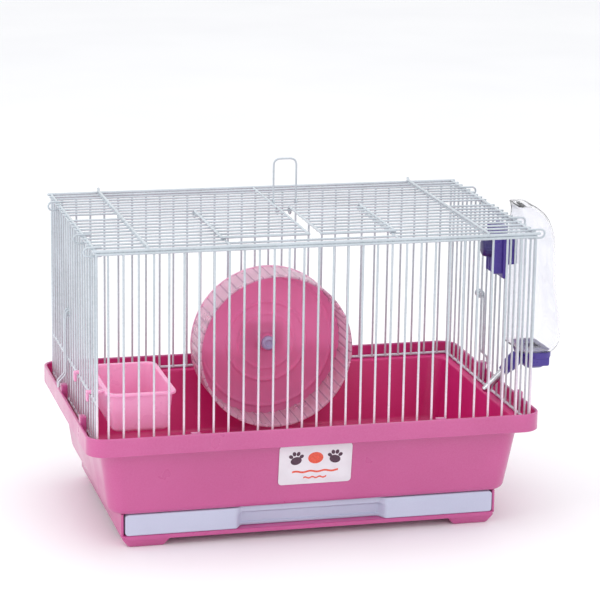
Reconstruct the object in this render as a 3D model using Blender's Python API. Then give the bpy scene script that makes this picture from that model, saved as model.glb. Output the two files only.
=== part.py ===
"""Hamster cage: a moulded tray with a drawer below, a wire cage that lifts off it, two roof doors,
a running wheel, a hanging food bowl and a drinking bottle.

Metres, +Z up.  X runs along the cage, the drawer opens towards -Y.  The pieces are laid out round the
middle of the wire cage; the parent empty then moves them so that the origin lies under the middle of
the whole object's box, on the surface it stands on.
"""
import math

import bmesh
import bpy
from mathutils import Matrix, Vector

# ---------------------------------------------------------------- clearances and stock
GAP = 0.0003                 # between pieces that touch
PLAY = 0.0005                # between pieces that slide
WIRE = 0.0018                # section of a plain wire
RAIL = 0.0026                # section of a frame rail
LOOP_WIRE = 0.0016           # wire of the small loops, hooks and latches
PLASTIC = 0.0022             # wall of the mouldings

# ---------------------------------------------------------------- wire cage
CAGE_LENGTH = 0.354          # between the corner posts' centres
CAGE_DEPTH = 0.222
CAGE_HEIGHT = 0.156          # bottom rail's centre to roof's centre
CORNER_GAP = 0.009           # from a corner post to the next upright
FRONT_PITCH = 0.0119
BACK_PITCH = 0.012
SIDE_PITCH = 0.0117
ROOF_PITCH = 0.0112
ROOF_OVERHANG = 0.0035       # roof wires past the side panels
ROOF_STRAP_INSET = 0.040     # cross wires, from the roof's ends
HINGE_RAIL_Y = 0.014         # roof rail that the doors hang on
ROOF_SPINE_X = -0.0022       # cross wire behind the doors

# ---------------------------------------------------------------- tray
RIM_MARGIN = 0.0085          # rim's outer face, outside the posts' centres
RIM_HEIGHT = 0.015
RIM_CORNER = 0.015
LEDGE_DROP = 0.0103          # ledge below the rim's top
BODY_INSET = 0.013           # body's top edge, inside the rim's outer face
BODY_DRAFT = 0.0075          # body's bottom edge, inside its top edge
BODY_HEIGHT = 0.055
BODY_CORNER = 0.016
LUG_RISE = 0.006
LUG_WIDTH = 0.008
NIB_RISE = 0.0005
BACK_LUG_X = 0.051
FRONT_NIB_X = 0.100

# ---------------------------------------------------------------- drawer and its housing
HOUSING_INSET = 0.0095       # housing's side, inside the tray body's bottom edge
HOUSING_SETBACK = 0.0025     # housing's front, behind the tray body's bottom edge
HOUSING_FLOOR = 0.003
FOOT_HEIGHT = 0.0065
FOOT_LENGTH = 0.039
FOOT_DEPTH = 0.026
FOOT_SLANT = 0.0048
DRAWER_HEIGHT = 0.0176
DRAWER_FRONT = 0.0125        # thickness of the drawer's front
DRAWER_WALL = 0.002
GRIP_HALF = 0.056            # half width of the finger grip
GRIP_CHAMFER = 0.007
GRIP_SETBACK = 0.0045
GRIP_DEPTH = 0.0095
GRIP_LIP = 0.005             # plain strip above the grip's slope
GRIP_FOOT = 0.0042           # grip's lower edge above the drawer's bottom

# ---------------------------------------------------------------- label
LABEL_WIDTH = 0.060
LABEL_HEIGHT = 0.034
LABEL_THICKNESS = 0.0004
LABEL_CORNER = 0.003
LABEL_TOP = 0.003            # below the rim

# ---------------------------------------------------------------- running wheel
WHEEL_RADIUS = 0.067
WHEEL_DEPTH = 0.040
WHEEL_Z = 0.0245             # axis above the bottom rail
WHEEL_BACK = 0.019           # wheel's back face, inside the back panel
TRACK_WALL = 0.0022
RUNG_COUNT = 30
RUNG_HEIGHT = 0.0016
DISC_WALL = 0.0022
DISC_RINGS = (0.035, 0.058)  # radii of the pressed rings
HUB_RADIUS = 0.0075
HUB_LENGTH = 0.009
CAP_RADIUS = 0.0062
CAP_LENGTH = 0.0035
AXLE_RADIUS = 0.002
BRACKET_BOSS = 0.006
BRACKET_HALF = (0.020, 0.011)
BRACKET_PLATE = 0.0035
BACKPLATE = 0.003
SCREW_RADIUS = 0.0016
SCREW_HEAD = 0.0038

# ---------------------------------------------------------------- food bowl
BOWL_SIZE = (0.056, 0.093, 0.0325)
BOWL_GAP = 0.010             # rim's outer edge to the left panel
BOWL_TOP = 0.0385            # rim above the bottom rail
BOWL_TAPER = 0.0025
BOWL_WALL = 0.0018
BOWL_LIP = 0.0026
BOWL_HOOK_WIDTH = 0.005
BOWL_HOOK_DROP = 0.006
BOWL_GAPS = (2, 7)           # wire gaps that the two hooks pass through

# ---------------------------------------------------------------- bottle
BOTTLE_STANDOFF = 0.0105     # bottle's inner face to the right panel's centre
BOTTLE_OVER_ROOF = 0.009     # bottle's top above the roof wires
BOTTLE_BOTTOM = 0.0427       # above the bottom rail
BOTTLE_HALF = 0.030          # half width at the bottom
BOTTLE_THICK = 0.0335        # at the bottom
BOTTLE_WALL = 0.0012
# from the bottom up: share of the height, thinner by, narrower by, corner radius, lean towards the cage
BOTTLE_FORM = (
    (0.00, 0.0055, 0.0025, 0.0060, 0.0),
    (0.03, 0.0020, 0.0007, 0.0080, 0.0),
    (0.13, 0.0, 0.0, 0.0090, 0.0),
    (0.28, 0.0018, 0.0, 0.0090, 0.0),
    (0.43, 0.0049, 0.0010, 0.0090, 0.0),
    (0.76, 0.0066, 0.0025, 0.0090, 0.0),
    (0.86, 0.0095, 0.0045, 0.0085, 0.0),
    (0.94, 0.0140, 0.0080, 0.0075, 0.0),
    (1.00, 0.0205, 0.0140, 0.0050, 0.0035),
)
BOTTLE_GAP_INDEX = 6         # wire gap that the spout passes through
NECK_RADIUS = 0.0100
NECK_LENGTH = 0.010
CAP_HEIGHT = 0.016
CAP_INSET = 0.006            # cap's side, inside the bottle's
SPOUT_RADIUS = 0.0032
SPOUT_WALL = 0.0006
SPOUT_ANGLE = math.radians(45)
SPOUT_CROSSING = 0.019       # height of the spout's axis where it crosses the panel
SPOUT_REACH = 0.0185         # along its axis, past the panel
SPOUT_ROOT = 0.019           # the same, outside the panel
BOSS_TIP = 0.0035            # cap's boss round the spout, outside the panel
BOSS_ROOT = 0.025
BOSS_RADIUS = 0.0062
CLIP_HEIGHT = 0.045
CLIP_UNDER_ROOF = 0.007
CLIP_HALF = 0.012
CLIP_PLATE = 0.0032
CLIP_RIB = (0.0032, 0.0110)       # width, depth
CLIP_RIB_SHARES = (-0.82, -0.1, 0.62)
CLIP_KNOB = (0.0085, 0.0062)      # radius at its root and at its end
CLIP_KNOB_DEPTH = 0.0185

# ---------------------------------------------------------------- doors, loops, hooks and latches
DOOR_LEFT = (-0.0745, -0.0045)    # side wires' centres of the left door, along X
DOOR_RIGHT = (0.0060, 0.0660)
DOOR_FRONT_Y = -0.089
DOOR_OPENING_LAP = 0.0025         # doors lap over the opening's frame
ROOF_LOOP_ROW = 2                 # roof wire behind the hinge rail that the carry loop turns on
EYE_BORE = 0.0018
LOOP_SPAN = 0.0195                # carry loop's legs
LOOP_LEFT_X = 0.0
LOOP_RISE = 0.037
HOOK_REACH = 0.009
HOOK_GAPS = (0, 4, 15)
LATCH_GAP_INDEX = 11
LATCH_PIVOT = 0.075               # above the bottom rail
LATCH_SPAN = 0.0062
LATCH_SPLAY = 0.0085              # loop's end, outside the side panel
LATCH_RISE = 0.0032               # legs' distance from the panel, above the lug

# ---------------------------------------------------------------- sizes worked out from the above
HALF_L = CAGE_LENGTH / 2
HALF_D = CAGE_DEPTH / 2
TRAY_Z = FOOT_HEIGHT + HOUSING_FLOOR + DRAWER_HEIGHT + 2 * PLAY
RIM_Z = TRAY_Z + BODY_HEIGHT
RIM_TOP = RIM_Z + RIM_HEIGHT
LEDGE_Z = RIM_TOP - LEDGE_DROP
RAIL_Z = LEDGE_Z + GAP + RAIL / 2
ROOF_Z = RAIL_Z + CAGE_HEIGHT
PANEL_TOP = ROOF_Z - WIRE / 2 - GAP
DOOR_Z = ROOF_Z + WIRE + GAP
RIM_HALF = (HALF_L + RIM_MARGIN, HALF_D + RIM_MARGIN)
BODY_TOP_HALF = tuple(half - BODY_INSET for half in RIM_HALF)
BODY_LOW_HALF = tuple(half - BODY_DRAFT for half in BODY_TOP_HALF)
HOUSING_HALF = (BODY_LOW_HALF[0] - HOUSING_INSET, BODY_LOW_HALF[1] - HOUSING_SETBACK)
BOTTLE_X = HALF_L + BOTTLE_STANDOFF
SIDE_COUNT = round(CAGE_DEPTH / SIDE_PITCH)
SIDE_STEP = CAGE_DEPTH / SIDE_COUNT
BACK_COUNT = round((CAGE_LENGTH - 2 * CORNER_GAP) / BACK_PITCH)
BOTTLE_TOP = CAGE_HEIGHT + BOTTLE_OVER_ROOF
CLIP_TOP = CAGE_HEIGHT - CLIP_UNDER_ROOF
LEFT_END = HALF_L + WIRE / 2 + HOOK_REACH
RIGHT_END = BOTTLE_X + BOTTLE_THICK


def side_gap(index):
    """Y of the middle of a gap between two uprights of a side panel, counted from the front."""
    return -HALF_D + SIDE_STEP * (index + 0.5)


# ---------------------------------------------------------------- scene, materials and objects
for old in list(bpy.data.objects):
    bpy.data.objects.remove(old, do_unlink=True)

ROOT = bpy.data.objects.new("cage_centre", None)
ROOT.location = ((LEFT_END - RIGHT_END) / 2, 0, 0)
bpy.context.collection.objects.link(ROOT)


def material(name, colour, roughness, metallic=0.0, alpha=1.0):
    made = bpy.data.materials.new(name)
    made.use_nodes = True
    shader = made.node_tree.nodes["Principled BSDF"]
    shader.inputs["Base Color"].default_value = (*colour, 1)
    shader.inputs["Roughness"].default_value = roughness
    shader.inputs["Metallic"].default_value = metallic
    shader.inputs["Alpha"].default_value = alpha
    return made


PINK = material("pink_plastic", (0.56, 0.10, 0.30), 0.32)
PALE_PINK = material("pale_pink_plastic", (0.80, 0.42, 0.58), 0.35)
CLEAR_PINK = material("clear_pink_plastic", (0.75, 0.18, 0.40), 0.2, alpha=0.6)
WHITE = material("white_plastic", (0.66, 0.68, 0.78), 0.4)
ENAMEL = material("white_wire_enamel", (0.66, 0.71, 0.76), 0.3)
VIOLET = material("violet_plastic", (0.09, 0.06, 0.32), 0.35)
DARK = material("dark_plastic", (0.05, 0.02, 0.06), 0.5)
STEEL = material("steel", (0.62, 0.62, 0.62), 0.2, metallic=1.0)
CLEAR = material("clear_plastic", (0.90, 0.91, 0.96), 0.08, alpha=0.3)
RUBBER = material("rubber", (0.05, 0.05, 0.05), 0.8)
PAPER = material("printed_label", (0.9, 0.9, 0.9), 0.5)


def to_object(name, bm, look, location=(0, 0, 0), rotation=(0, 0, 0), smooth=False):
    """Turn a bmesh into a placed object under the root, with its faces pointing out."""
    bmesh.ops.recalc_face_normals(bm, faces=bm.faces)
    mesh = bpy.data.meshes.new(name)
    bm.to_mesh(mesh)
    bm.free()
    if smooth:
        mesh.shade_smooth()
        mesh.set_sharp_from_angle(angle=math.radians(35))
    obj = bpy.data.objects.new(name, mesh)
    obj.data.materials.append(look)
    obj.location = location
    obj.rotation_euler = rotation
    obj.parent = ROOT
    bpy.context.collection.objects.link(obj)
    return obj


def tool_object(bm, location=(0, 0, 0)):
    """A shape that only serves a Boolean."""
    obj = to_object("tool", bm, PINK, location)
    obj.hide_render = True
    obj.display_type = "WIRE"
    return obj


def boolean(obj, tool, operation):
    step = obj.modifiers.new(operation.lower(), "BOOLEAN")
    step.operation = operation
    step.solver = "EXACT"
    step.object = tool


def join(obj, bm):
    """Weld a shape, drawn in the object's own frame, to the object."""
    boolean(obj, tool_object(bm, obj.location), "UNION")


def cut(obj, bm):
    boolean(obj, tool_object(bm, obj.location), "DIFFERENCE")


# ---------------------------------------------------------------- shapes
def box(low, high, bm=None):
    bm = bm or bmesh.new()
    centre = (Vector(low) + Vector(high)) / 2
    size = Vector(high) - Vector(low)
    bmesh.ops.create_cube(bm, size=1, matrix=Matrix.Translation(centre) @ Matrix.Diagonal((*size, 1)))
    return bm


def cylinder(start, end, radius, end_radius=None, sides=24):
    """A round bar or cone between two points."""
    bm = bmesh.new()
    axis = Vector(end) - Vector(start)
    turn = axis.to_track_quat("Z", "Y").to_matrix().to_4x4()
    place = Matrix.Translation((Vector(start) + Vector(end)) / 2) @ turn
    bmesh.ops.create_cone(bm, cap_ends=True, segments=sides, radius1=radius,
                          radius2=radius if end_radius is None else end_radius,
                          depth=axis.length, matrix=place)
    return bm


def rounded_outline(half_x, half_y, corner, steps=4, centre=(0, 0)):
    """Points round a rectangle with round corners, anticlockwise."""
    points = []
    for turn, (sx, sy) in enumerate(((1, 1), (-1, 1), (-1, -1), (1, -1))):
        for step in range(steps + 1):
            angle = math.pi / 2 * (turn + step / steps)
            points.append((centre[0] + sx * (half_x - corner) + corner * math.cos(angle),
                           centre[1] + sy * (half_y - corner) + corner * math.sin(angle)))
    return points


def loft(loops):
    """Skin a stack of closed loops of 3-D points, and close both ends."""
    bm = bmesh.new()
    rings = [[bm.verts.new(point) for point in loop] for loop in loops]
    for lower, upper in zip(rings, rings[1:]):
        for i, vert in enumerate(lower):
            j = (i + 1) % len(lower)
            bm.faces.new((vert, lower[j], upper[j], upper[i]))
    bm.faces.new(list(reversed(rings[0])))
    bm.faces.new(rings[-1])
    return bm


def stacked(levels, steps=4, centre=(0, 0)):
    """Loft rounded rectangles: each level is (half_x, half_y, corner, z)."""
    return loft([[(x, y, z) for x, y in rounded_outline(hx, hy, corner, steps, centre)]
                 for hx, hy, corner, z in levels])


def revolve(profile, sides=32):
    """Turn a closed outline of (radius, y) about the Y axis."""
    bm = bmesh.new()
    rings = []
    for i in range(sides):
        angle = 2 * math.pi * i / sides
        rings.append([bm.verts.new((r * math.cos(angle), y, r * math.sin(angle))) for r, y in profile])
    for ring, following in zip(rings, rings[1:] + rings[:1]):
        for k in range(len(profile)):
            n = (k + 1) % len(profile)
            bm.faces.new((ring[k], ring[n], following[n], following[k]))
    return bm


def sweep(points, radius, sides=6, closed=False):
    """A round wire along a path."""
    bm = bmesh.new()
    path = [Vector(point) for point in points]
    count = len(path)
    rings = []
    side = None
    for i, point in enumerate(path):
        before = path[i - 1] if i or closed else point
        after = path[(i + 1) % count] if i + 1 < count or closed else point
        forward = (after - before).normalized()
        side = side or forward.orthogonal()
        side = (side - forward * side.dot(forward)).normalized()
        up = forward.cross(side)
        rings.append([bm.verts.new(point + radius * (side * math.cos(a) + up * math.sin(a)))
                      for a in (2 * math.pi * k / sides for k in range(sides))])
    pairs = list(zip(rings, rings[1:])) + ([(rings[-1], rings[0])] if closed else [])
    for ring, following in pairs:
        for k in range(sides):
            n = (k + 1) % sides
            bm.faces.new((ring[k], ring[n], following[n], following[k]))
    if not closed:
        bm.faces.new(list(reversed(rings[0])))
        bm.faces.new(rings[-1])
    return bm


def arc(centre, radius, start, end, steps, plane="YZ", fixed=0.0):
    """Points on an arc in a plane; angles in degrees from the plane's first axis."""
    points = []
    for i in range(steps + 1):
        angle = math.radians(start + (end - start) * i / steps)
        u = centre[0] + radius * math.cos(angle)
        v = centre[1] + radius * math.sin(angle)
        points.append({"YZ": (fixed, u, v), "XZ": (u, fixed, v)}[plane])
    return points


def lattice(bars, thickness):
    """One closed plate made of crossing flat bars (u0, u1, v0, v1) in the local XY plane."""
    us = sorted({round(value, 6) for bar in bars for value in bar[:2]})
    vs = sorted({round(value, 6) for bar in bars for value in bar[2:]})

    def solid(i, j):
        if not (0 <= i < len(us) - 1 and 0 <= j < len(vs) - 1):
            return False
        u = (us[i] + us[i + 1]) / 2
        v = (vs[j] + vs[j + 1]) / 2
        return any(u0 < u < u1 and v0 < v < v1 for u0, u1, v0, v1 in bars)

    bm = bmesh.new()
    verts = {}

    def vert(i, j, side):
        if (i, j, side) not in verts:
            verts[i, j, side] = bm.verts.new((us[i], vs[j], side * thickness / 2))
        return verts[i, j, side]

    for i in range(len(us) - 1):
        for j in range(len(vs) - 1):
            if not solid(i, j):
                continue
            corners = ((i, j), (i + 1, j), (i + 1, j + 1), (i, j + 1))
            bm.faces.new([vert(*corner, 1) for corner in corners])
            bm.faces.new([vert(*corner, -1) for corner in reversed(corners)])
            walls = ((i, j - 1), (i + 1, j), (i, j + 1), (i - 1, j))
            for k, neighbour in enumerate(walls):
                if not solid(*neighbour):
                    a, b = corners[k], corners[(k + 1) % 4]
                    bm.faces.new((vert(*a, -1), vert(*b, -1), vert(*b, 1), vert(*a, 1)))
    return bm


def upright(u, low, high, width=WIRE):
    return (u - width / 2, u + width / 2, low, high)


def crossbar(v, left, right, width=WIRE):
    return (left, right, v - width / 2, v + width / 2)


# ---------------------------------------------------------------- tray
def tray():
    rim_x, rim_y = RIM_HALF
    inner_rim = (rim_x - PLASTIC, rim_y - PLASTIC)
    top, low = BODY_TOP_HALF, BODY_LOW_HALF
    floor_chamfer = 0.003
    levels = [
        (low[0] - floor_chamfer, low[1] - floor_chamfer, BODY_CORNER - floor_chamfer, TRAY_Z),
        (*low, BODY_CORNER, TRAY_Z + floor_chamfer),
        (*top, BODY_CORNER, RIM_Z),
        (rim_x, rim_y, RIM_CORNER, RIM_Z),
        (rim_x, rim_y, RIM_CORNER, RIM_TOP),
        (*inner_rim, RIM_CORNER - PLASTIC, RIM_TOP),
        (*inner_rim, RIM_CORNER - PLASTIC, LEDGE_Z),
        (top[0] - PLASTIC, top[1] - PLASTIC, BODY_CORNER - PLASTIC, LEDGE_Z),
        (low[0] - PLASTIC, low[1] - PLASTIC, BODY_CORNER - PLASTIC, TRAY_Z + floor_chamfer),
        (low[0] - 2 * floor_chamfer, low[1] - 2 * floor_chamfer, BODY_CORNER - 2 * floor_chamfer,
         TRAY_Z + PLASTIC),
    ]
    obj = to_object("tray", stacked(levels, steps=5), PINK, smooth=True)
    sink = 0.001                     # how far a lug is rooted in the rim and the ledge
    thick = inner_rim[0] - HALF_L - WIRE / 2 - GAP - 0.0008
    low_z = LEDGE_Z - sink
    for side in (-1, 1):
        for y in (side_gap(3), side_gap(LATCH_GAP_INDEX)):
            xs = sorted((side * (inner_rim[0] - thick), side * (inner_rim[0] + sink)))
            join(obj, box((xs[0], y - LUG_WIDTH / 2, low_z), (xs[1], y + LUG_WIDTH / 2, RIM_TOP + LUG_RISE)))
        x = side * BACK_LUG_X
        join(obj, box((x - LUG_WIDTH / 2, inner_rim[1] - thick, low_z),
                      (x + LUG_WIDTH / 2, inner_rim[1] + sink, RIM_TOP + LUG_RISE)))
        x = side * FRONT_NIB_X
        join(obj, box((x - LUG_WIDTH / 2, -inner_rim[1] - sink, low_z),
                      (x + LUG_WIDTH / 2, -inner_rim[1] + thick, RIM_TOP + NIB_RISE)))


def label():
    slope = math.atan2(BODY_DRAFT, BODY_HEIGHT)
    mid_drop = LABEL_TOP + LABEL_HEIGHT / 2
    wall_y = -BODY_TOP_HALF[1] + BODY_DRAFT * mid_drop / BODY_HEIGHT
    away = GAP + LABEL_THICKNESS
    plate = stacked([(LABEL_WIDTH / 2, LABEL_HEIGHT / 2, LABEL_CORNER, z) for z in (-LABEL_THICKNESS, 0)])
    location = (0, wall_y - away * math.cos(slope), RIM_Z - mid_drop - away * math.sin(slope))
    to_object("label", plate, PAPER, location, (math.radians(90) + slope, 0, 0))


# ---------------------------------------------------------------- housing and drawer
def drawer_housing():
    half_x, half_y = HOUSING_HALF
    top = TRAY_Z - GAP
    obj = to_object("drawer_housing", stacked([
        (half_x - 0.002, half_y, 0.004, FOOT_HEIGHT),
        (half_x, half_y, 0.004, FOOT_HEIGHT + HOUSING_FLOOR),
        (half_x, half_y, 0.004, top)], steps=2), PINK)
    cut(obj, box((-half_x + PLASTIC, -half_y - 0.01, FOOT_HEIGHT + HOUSING_FLOOR),
                 (half_x - PLASTIC, half_y - PLASTIC, top + 0.01)))
    for sx in (-1, 1):
        for sy in (-1, 1):
            mid = (sx * (half_x - 0.001 - FOOT_LENGTH / 2), sy * (half_y - 0.0005 - FOOT_DEPTH / 2))
            length, depth = FOOT_LENGTH / 2, FOOT_DEPTH / 2
            join(obj, stacked([
                (length - FOOT_SLANT, depth - FOOT_SLANT / 2, 0.002, 0),
                (length, depth, 0.002, FOOT_HEIGHT + 0.001)], steps=1, centre=mid))


def drawer():
    half_x = HOUSING_HALF[0] - PLASTIC - PLAY
    front = -HOUSING_HALF[1]
    back = HOUSING_HALF[1] - PLASTIC - PLAY
    low = FOOT_HEIGHT + HOUSING_FLOOR + PLAY
    high = low + DRAWER_HEIGHT
    corner = 0.004
    outline = [(x, front, low + DRAWER_HEIGHT / 2 + z)
               for x, z in rounded_outline(half_x, DRAWER_HEIGHT / 2, corner, 3)]
    obj = to_object("drawer", loft([outline, [(x, back, z) for x, _, z in outline]]), WHITE)
    cut(obj, box((-half_x + DRAWER_WALL, front + DRAWER_FRONT, low + DRAWER_WALL),
                 (half_x - DRAWER_WALL, back - DRAWER_WALL, high + 0.01)))
    # finger grip: a plain strip set back, then a slope running in to the lower edge
    out = front - 0.01
    lip_z, foot_z = high - GRIP_LIP, low + GRIP_FOOT
    profile = [(out, high + 0.01), (front + GRIP_SETBACK, high + 0.01), (front + GRIP_SETBACK, lip_z),
               (front + GRIP_DEPTH, foot_z), (front + GRIP_DEPTH, low - 0.01), (out, low - 0.01)]
    wide = GRIP_HALF + GRIP_CHAMFER

    def section(x_sign):
        reach = [GRIP_HALF + GRIP_CHAMFER * (1 - (y - front) / GRIP_DEPTH) for y, _ in profile]
        return [(x_sign * min(r, wide + 0.008), y, z) for r, (y, z) in zip(reach, profile)]

    cut(obj, loft([section(-1), section(1)]))


# ---------------------------------------------------------------- wire panels
def long_panel(name, side, posts):
    low, high = RAIL_Z - RAIL / 2, PANEL_TOP
    left, right = -HALF_L - WIRE / 2, HALF_L + WIRE / 2
    bars = [upright(x, low, high) for x in posts]
    bars += [crossbar(RAIL_Z, left, right, RAIL), crossbar(high - RAIL / 2, left, right, RAIL)]
    to_object(name, lattice(bars, WIRE), ENAMEL, (0, side * HALF_D, 0), (math.radians(90), 0, 0))


def front_posts():
    inner = CAGE_LENGTH - CORNER_GAP
    count = round(inner / FRONT_PITCH)
    step = inner / count
    return [-HALF_L] + [HALF_L - step * k for k in range(count, -1, -1)]


def back_posts():
    inner = CAGE_LENGTH - 2 * CORNER_GAP
    return [-HALF_L] + [inner * (k / BACK_COUNT - 0.5) for k in range(BACK_COUNT + 1)] + [HALF_L]


def side_panel(name, side):
    low, high = RAIL_Z - RAIL / 2, PANEL_TOP
    end = HALF_D - WIRE / 2 - GAP
    left, right = -end, end
    posts = [-end + WIRE / 2] + [-HALF_D + SIDE_STEP * k for k in range(1, SIDE_COUNT)] + [end - WIRE / 2]
    bars = [upright(y, low, high) for y in posts]
    bars += [crossbar(RAIL_Z, left, right, RAIL), crossbar(high - RAIL / 2, left, right, RAIL)]
    pivot = side_gap(LATCH_GAP_INDEX)
    bars.append(crossbar(RAIL_Z + LATCH_PIVOT, pivot - SIDE_STEP / 2, pivot + SIDE_STEP / 2))
    if side < 0:
        bars.append(crossbar(bowl_rail_z(), left, right))
    to_object(name, lattice(bars, WIRE), ENAMEL, (side * HALF_L, 0, 0),
              (math.radians(90), 0, math.radians(90)))


def roof_rows(start, end):
    """Y of the plain roof wires strictly between two rails."""
    count = round((end - start) / ROOF_PITCH)
    return [start + (end - start) * k / count for k in range(1, count)]


def top_panel():
    reach = HALF_L + ROOF_OVERHANG
    low, high = -HALF_D - RAIL / 2, HALF_D + RAIL / 2
    open_left = DOOR_LEFT[0] + DOOR_OPENING_LAP + WIRE / 2
    open_right = DOOR_RIGHT[1] - DOOR_OPENING_LAP - WIRE / 2
    strap = HALF_L - ROOF_STRAP_INSET
    bars = [crossbar(-HALF_D, -reach, reach, RAIL), crossbar(HALF_D, -reach, reach, RAIL),
            crossbar(HINGE_RAIL_Y, -strap, strap)]
    bars += [upright(x, low, high) for x in (-HALF_L, -strap, strap, HALF_L)]
    bars += [upright(x, low, HINGE_RAIL_Y) for x in (open_left - WIRE / 2, open_right + WIRE / 2)]
    bars.append(upright(ROOF_SPINE_X, HINGE_RAIL_Y, high))
    bars += [crossbar(y, -reach, reach) for y in roof_rows(HINGE_RAIL_Y, HALF_D)]
    for y in roof_rows(-HALF_D, HINGE_RAIL_Y):
        if y < DOOR_FRONT_Y:
            bars.append(crossbar(y, -reach, reach))
        else:
            bars += [crossbar(y, -reach, open_left), crossbar(y, open_right, reach)]
    to_object("top_panel", lattice(bars, WIRE), ENAMEL, (0, 0, ROOF_Z))


# ---------------------------------------------------------------- doors and small wire pieces
def door(name, sides):
    """A roof door.  Its origin lies on its hinge axis, the roof's hinge rail."""
    left, right = sides
    raise_z = DOOR_Z - ROOF_Z
    front = DOOR_FRONT_Y - HINGE_RAIL_Y
    back = -(EYE_BORE + WIRE)
    rows = [y - HINGE_RAIL_Y for y in roof_rows(-HALF_D, HINGE_RAIL_Y) if y > DOOR_FRONT_Y + WIRE]
    bars = [upright(x, front - RAIL / 2, back) for x in (left, right)]
    bars += [crossbar(y, left - WIRE / 2, right + WIRE / 2) for y in rows if y < back - WIRE]
    bars.append(crossbar(front, left - WIRE / 2, right + WIRE / 2, RAIL))
    plate = lattice(bars, WIRE)
    bmesh.ops.translate(plate, verts=plate.verts, vec=(0, 0, raise_z))
    obj = to_object(name, plate, ENAMEL, (0, HINGE_RAIL_Y, ROOF_Z))
    outer = EYE_BORE + WIRE
    for x in sides:
        rings = [[(x + dx, y, z) for _, y, z in
                  arc((0, 0), outer, 0, -180, 8) + arc((0, raise_z), outer, 180, 0, 8)]
                 for dx in (-WIRE / 2, WIRE / 2)]
        join(obj, loft(rings))
        cut(obj, cylinder((x - WIRE, 0, 0), (x + WIRE, 0, 0), EYE_BORE, sides=12))


def eyed_loop(name, path, eyes, axis, location):
    """A bent wire with an eye at each end; its origin lies on the axis through the eyes."""
    obj = to_object(name, sweep(path, LOOP_WIRE / 2), ENAMEL, location)
    ring_radius = EYE_BORE + LOOP_WIRE / 2
    for eye in eyes:
        plane = "YZ" if axis == "X" else "XZ"
        along = eye[0] if axis == "X" else eye[1]
        ring = arc((0, 0), ring_radius, 0, 330, 11, plane, along)
        join(obj, sweep(ring, LOOP_WIRE / 2, closed=True))


def carry_loop():
    """Upright wire loop that turns on a roof wire behind the doors."""
    rows = roof_rows(HINGE_RAIL_Y, HALF_D)
    root = EYE_BORE + LOOP_WIRE * 0.4
    bend = 0.006
    span, top = LOOP_SPAN, LOOP_RISE
    path = [(0, 0, root)] + arc((bend, top - bend), bend, 180, 90, 4, "XZ")
    path += arc((span - bend, top - bend), bend, 90, 0, 4, "XZ") + [(span, 0, root)]
    eyed_loop("carry_loop", path, [(0, 0, 0), (span, 0, 0)], "X",
              (LOOP_LEFT_X, rows[ROOF_LOOP_ROW], ROOF_Z))


def latch(name, side):
    """Wire loop hinged on a side panel; its closed end lies over a lug of the tray."""
    root = EYE_BORE + LOOP_WIRE * 0.4
    lug_z = RIM_TOP + LUG_RISE - RAIL_Z - LATCH_PIVOT
    end_z = lug_z - 0.0025
    half = LATCH_SPAN / 2
    x_near, x_leg, x_far = (side * x for x in (root, LATCH_RISE, LATCH_SPLAY + LOOP_WIRE / 2))
    leg = [(x_near, 0), (x_leg, -0.006), (x_leg, lug_z + 0.009), (x_far, lug_z + 0.0025),
           (x_far, end_z + half)]
    path = [(x, -half, z) for x, z in leg]
    path += [(x_far, half * math.sin(a), end_z + half - half * math.cos(a))
             for a in (math.radians(-90 + 30 * k) for k in range(1, 6))]
    path += [(x, half, z) for x, z in reversed(leg)]
    location = (side * HALF_L, side_gap(LATCH_GAP_INDEX), RAIL_Z + LATCH_PIVOT)
    eyed_loop(name, path, [(0, -half, 0), (0, half, 0)], "Y", location)


def joining_hook(name, side, y):
    """C-shaped clip that holds a side panel's top rail to the roof's end wire."""
    radius = LOOP_WIRE / 2
    top = ROOF_Z + WIRE / 2 + GAP + radius
    low = PANEL_TOP - RAIL - GAP - radius
    half = (top - low) / 2
    out = HALF_L + WIRE / 2 + HOOK_REACH - radius - half
    inner = HALF_L - 0.005
    path = [(side * inner, y, top)]
    path += [(side * x, y, z) for x, _, z in arc((out, low + half), half, 90, -90, 6, "XZ")]
    path.append((side * inner, y, low))
    to_object(name, sweep(path, radius), ENAMEL)


# ---------------------------------------------------------------- running wheel
WHEEL_X = (CAGE_LENGTH - 2 * CORNER_GAP) / BACK_COUNT / 2
WHEEL_Y = HALF_D - WHEEL_BACK        # back face
WHEEL_CENTRE = (WHEEL_X, WHEEL_Y, RAIL_Z + WHEEL_Z)


def wheel_track():
    """Ring that the animal runs in, with rungs along its inside; local Y is the wheel's axis."""
    inner = WHEEL_RADIUS - TRACK_WALL
    outer_points, inner_points = [], []
    for k in range(RUNG_COUNT * 4):
        angle = 2 * math.pi * k / (RUNG_COUNT * 4)
        radius = inner - (RUNG_HEIGHT if k % 4 in (0, 1) else 0)
        outer_points.append((WHEEL_RADIUS * math.cos(angle), WHEEL_RADIUS * math.sin(angle)))
        inner_points.append((radius * math.cos(angle), radius * math.sin(angle)))
    bm = bmesh.new()
    front, back = -WHEEL_DEPTH, -(DISC_WALL + GAP)
    rings = [[bm.verts.new((x, y, z)) for x, z in points]
             for points, y in ((outer_points, front), (outer_points, back),
                               (inner_points, back), (inner_points, front))]
    for ring, following in zip(rings, rings[1:] + rings[:1]):
        for i, vert in enumerate(ring):
            j = (i + 1) % len(ring)
            bm.faces.new((vert, ring[j], following[j], following[i]))
    to_object("wheel_track", bm, PALE_PINK, WHEEL_CENTRE)


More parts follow.
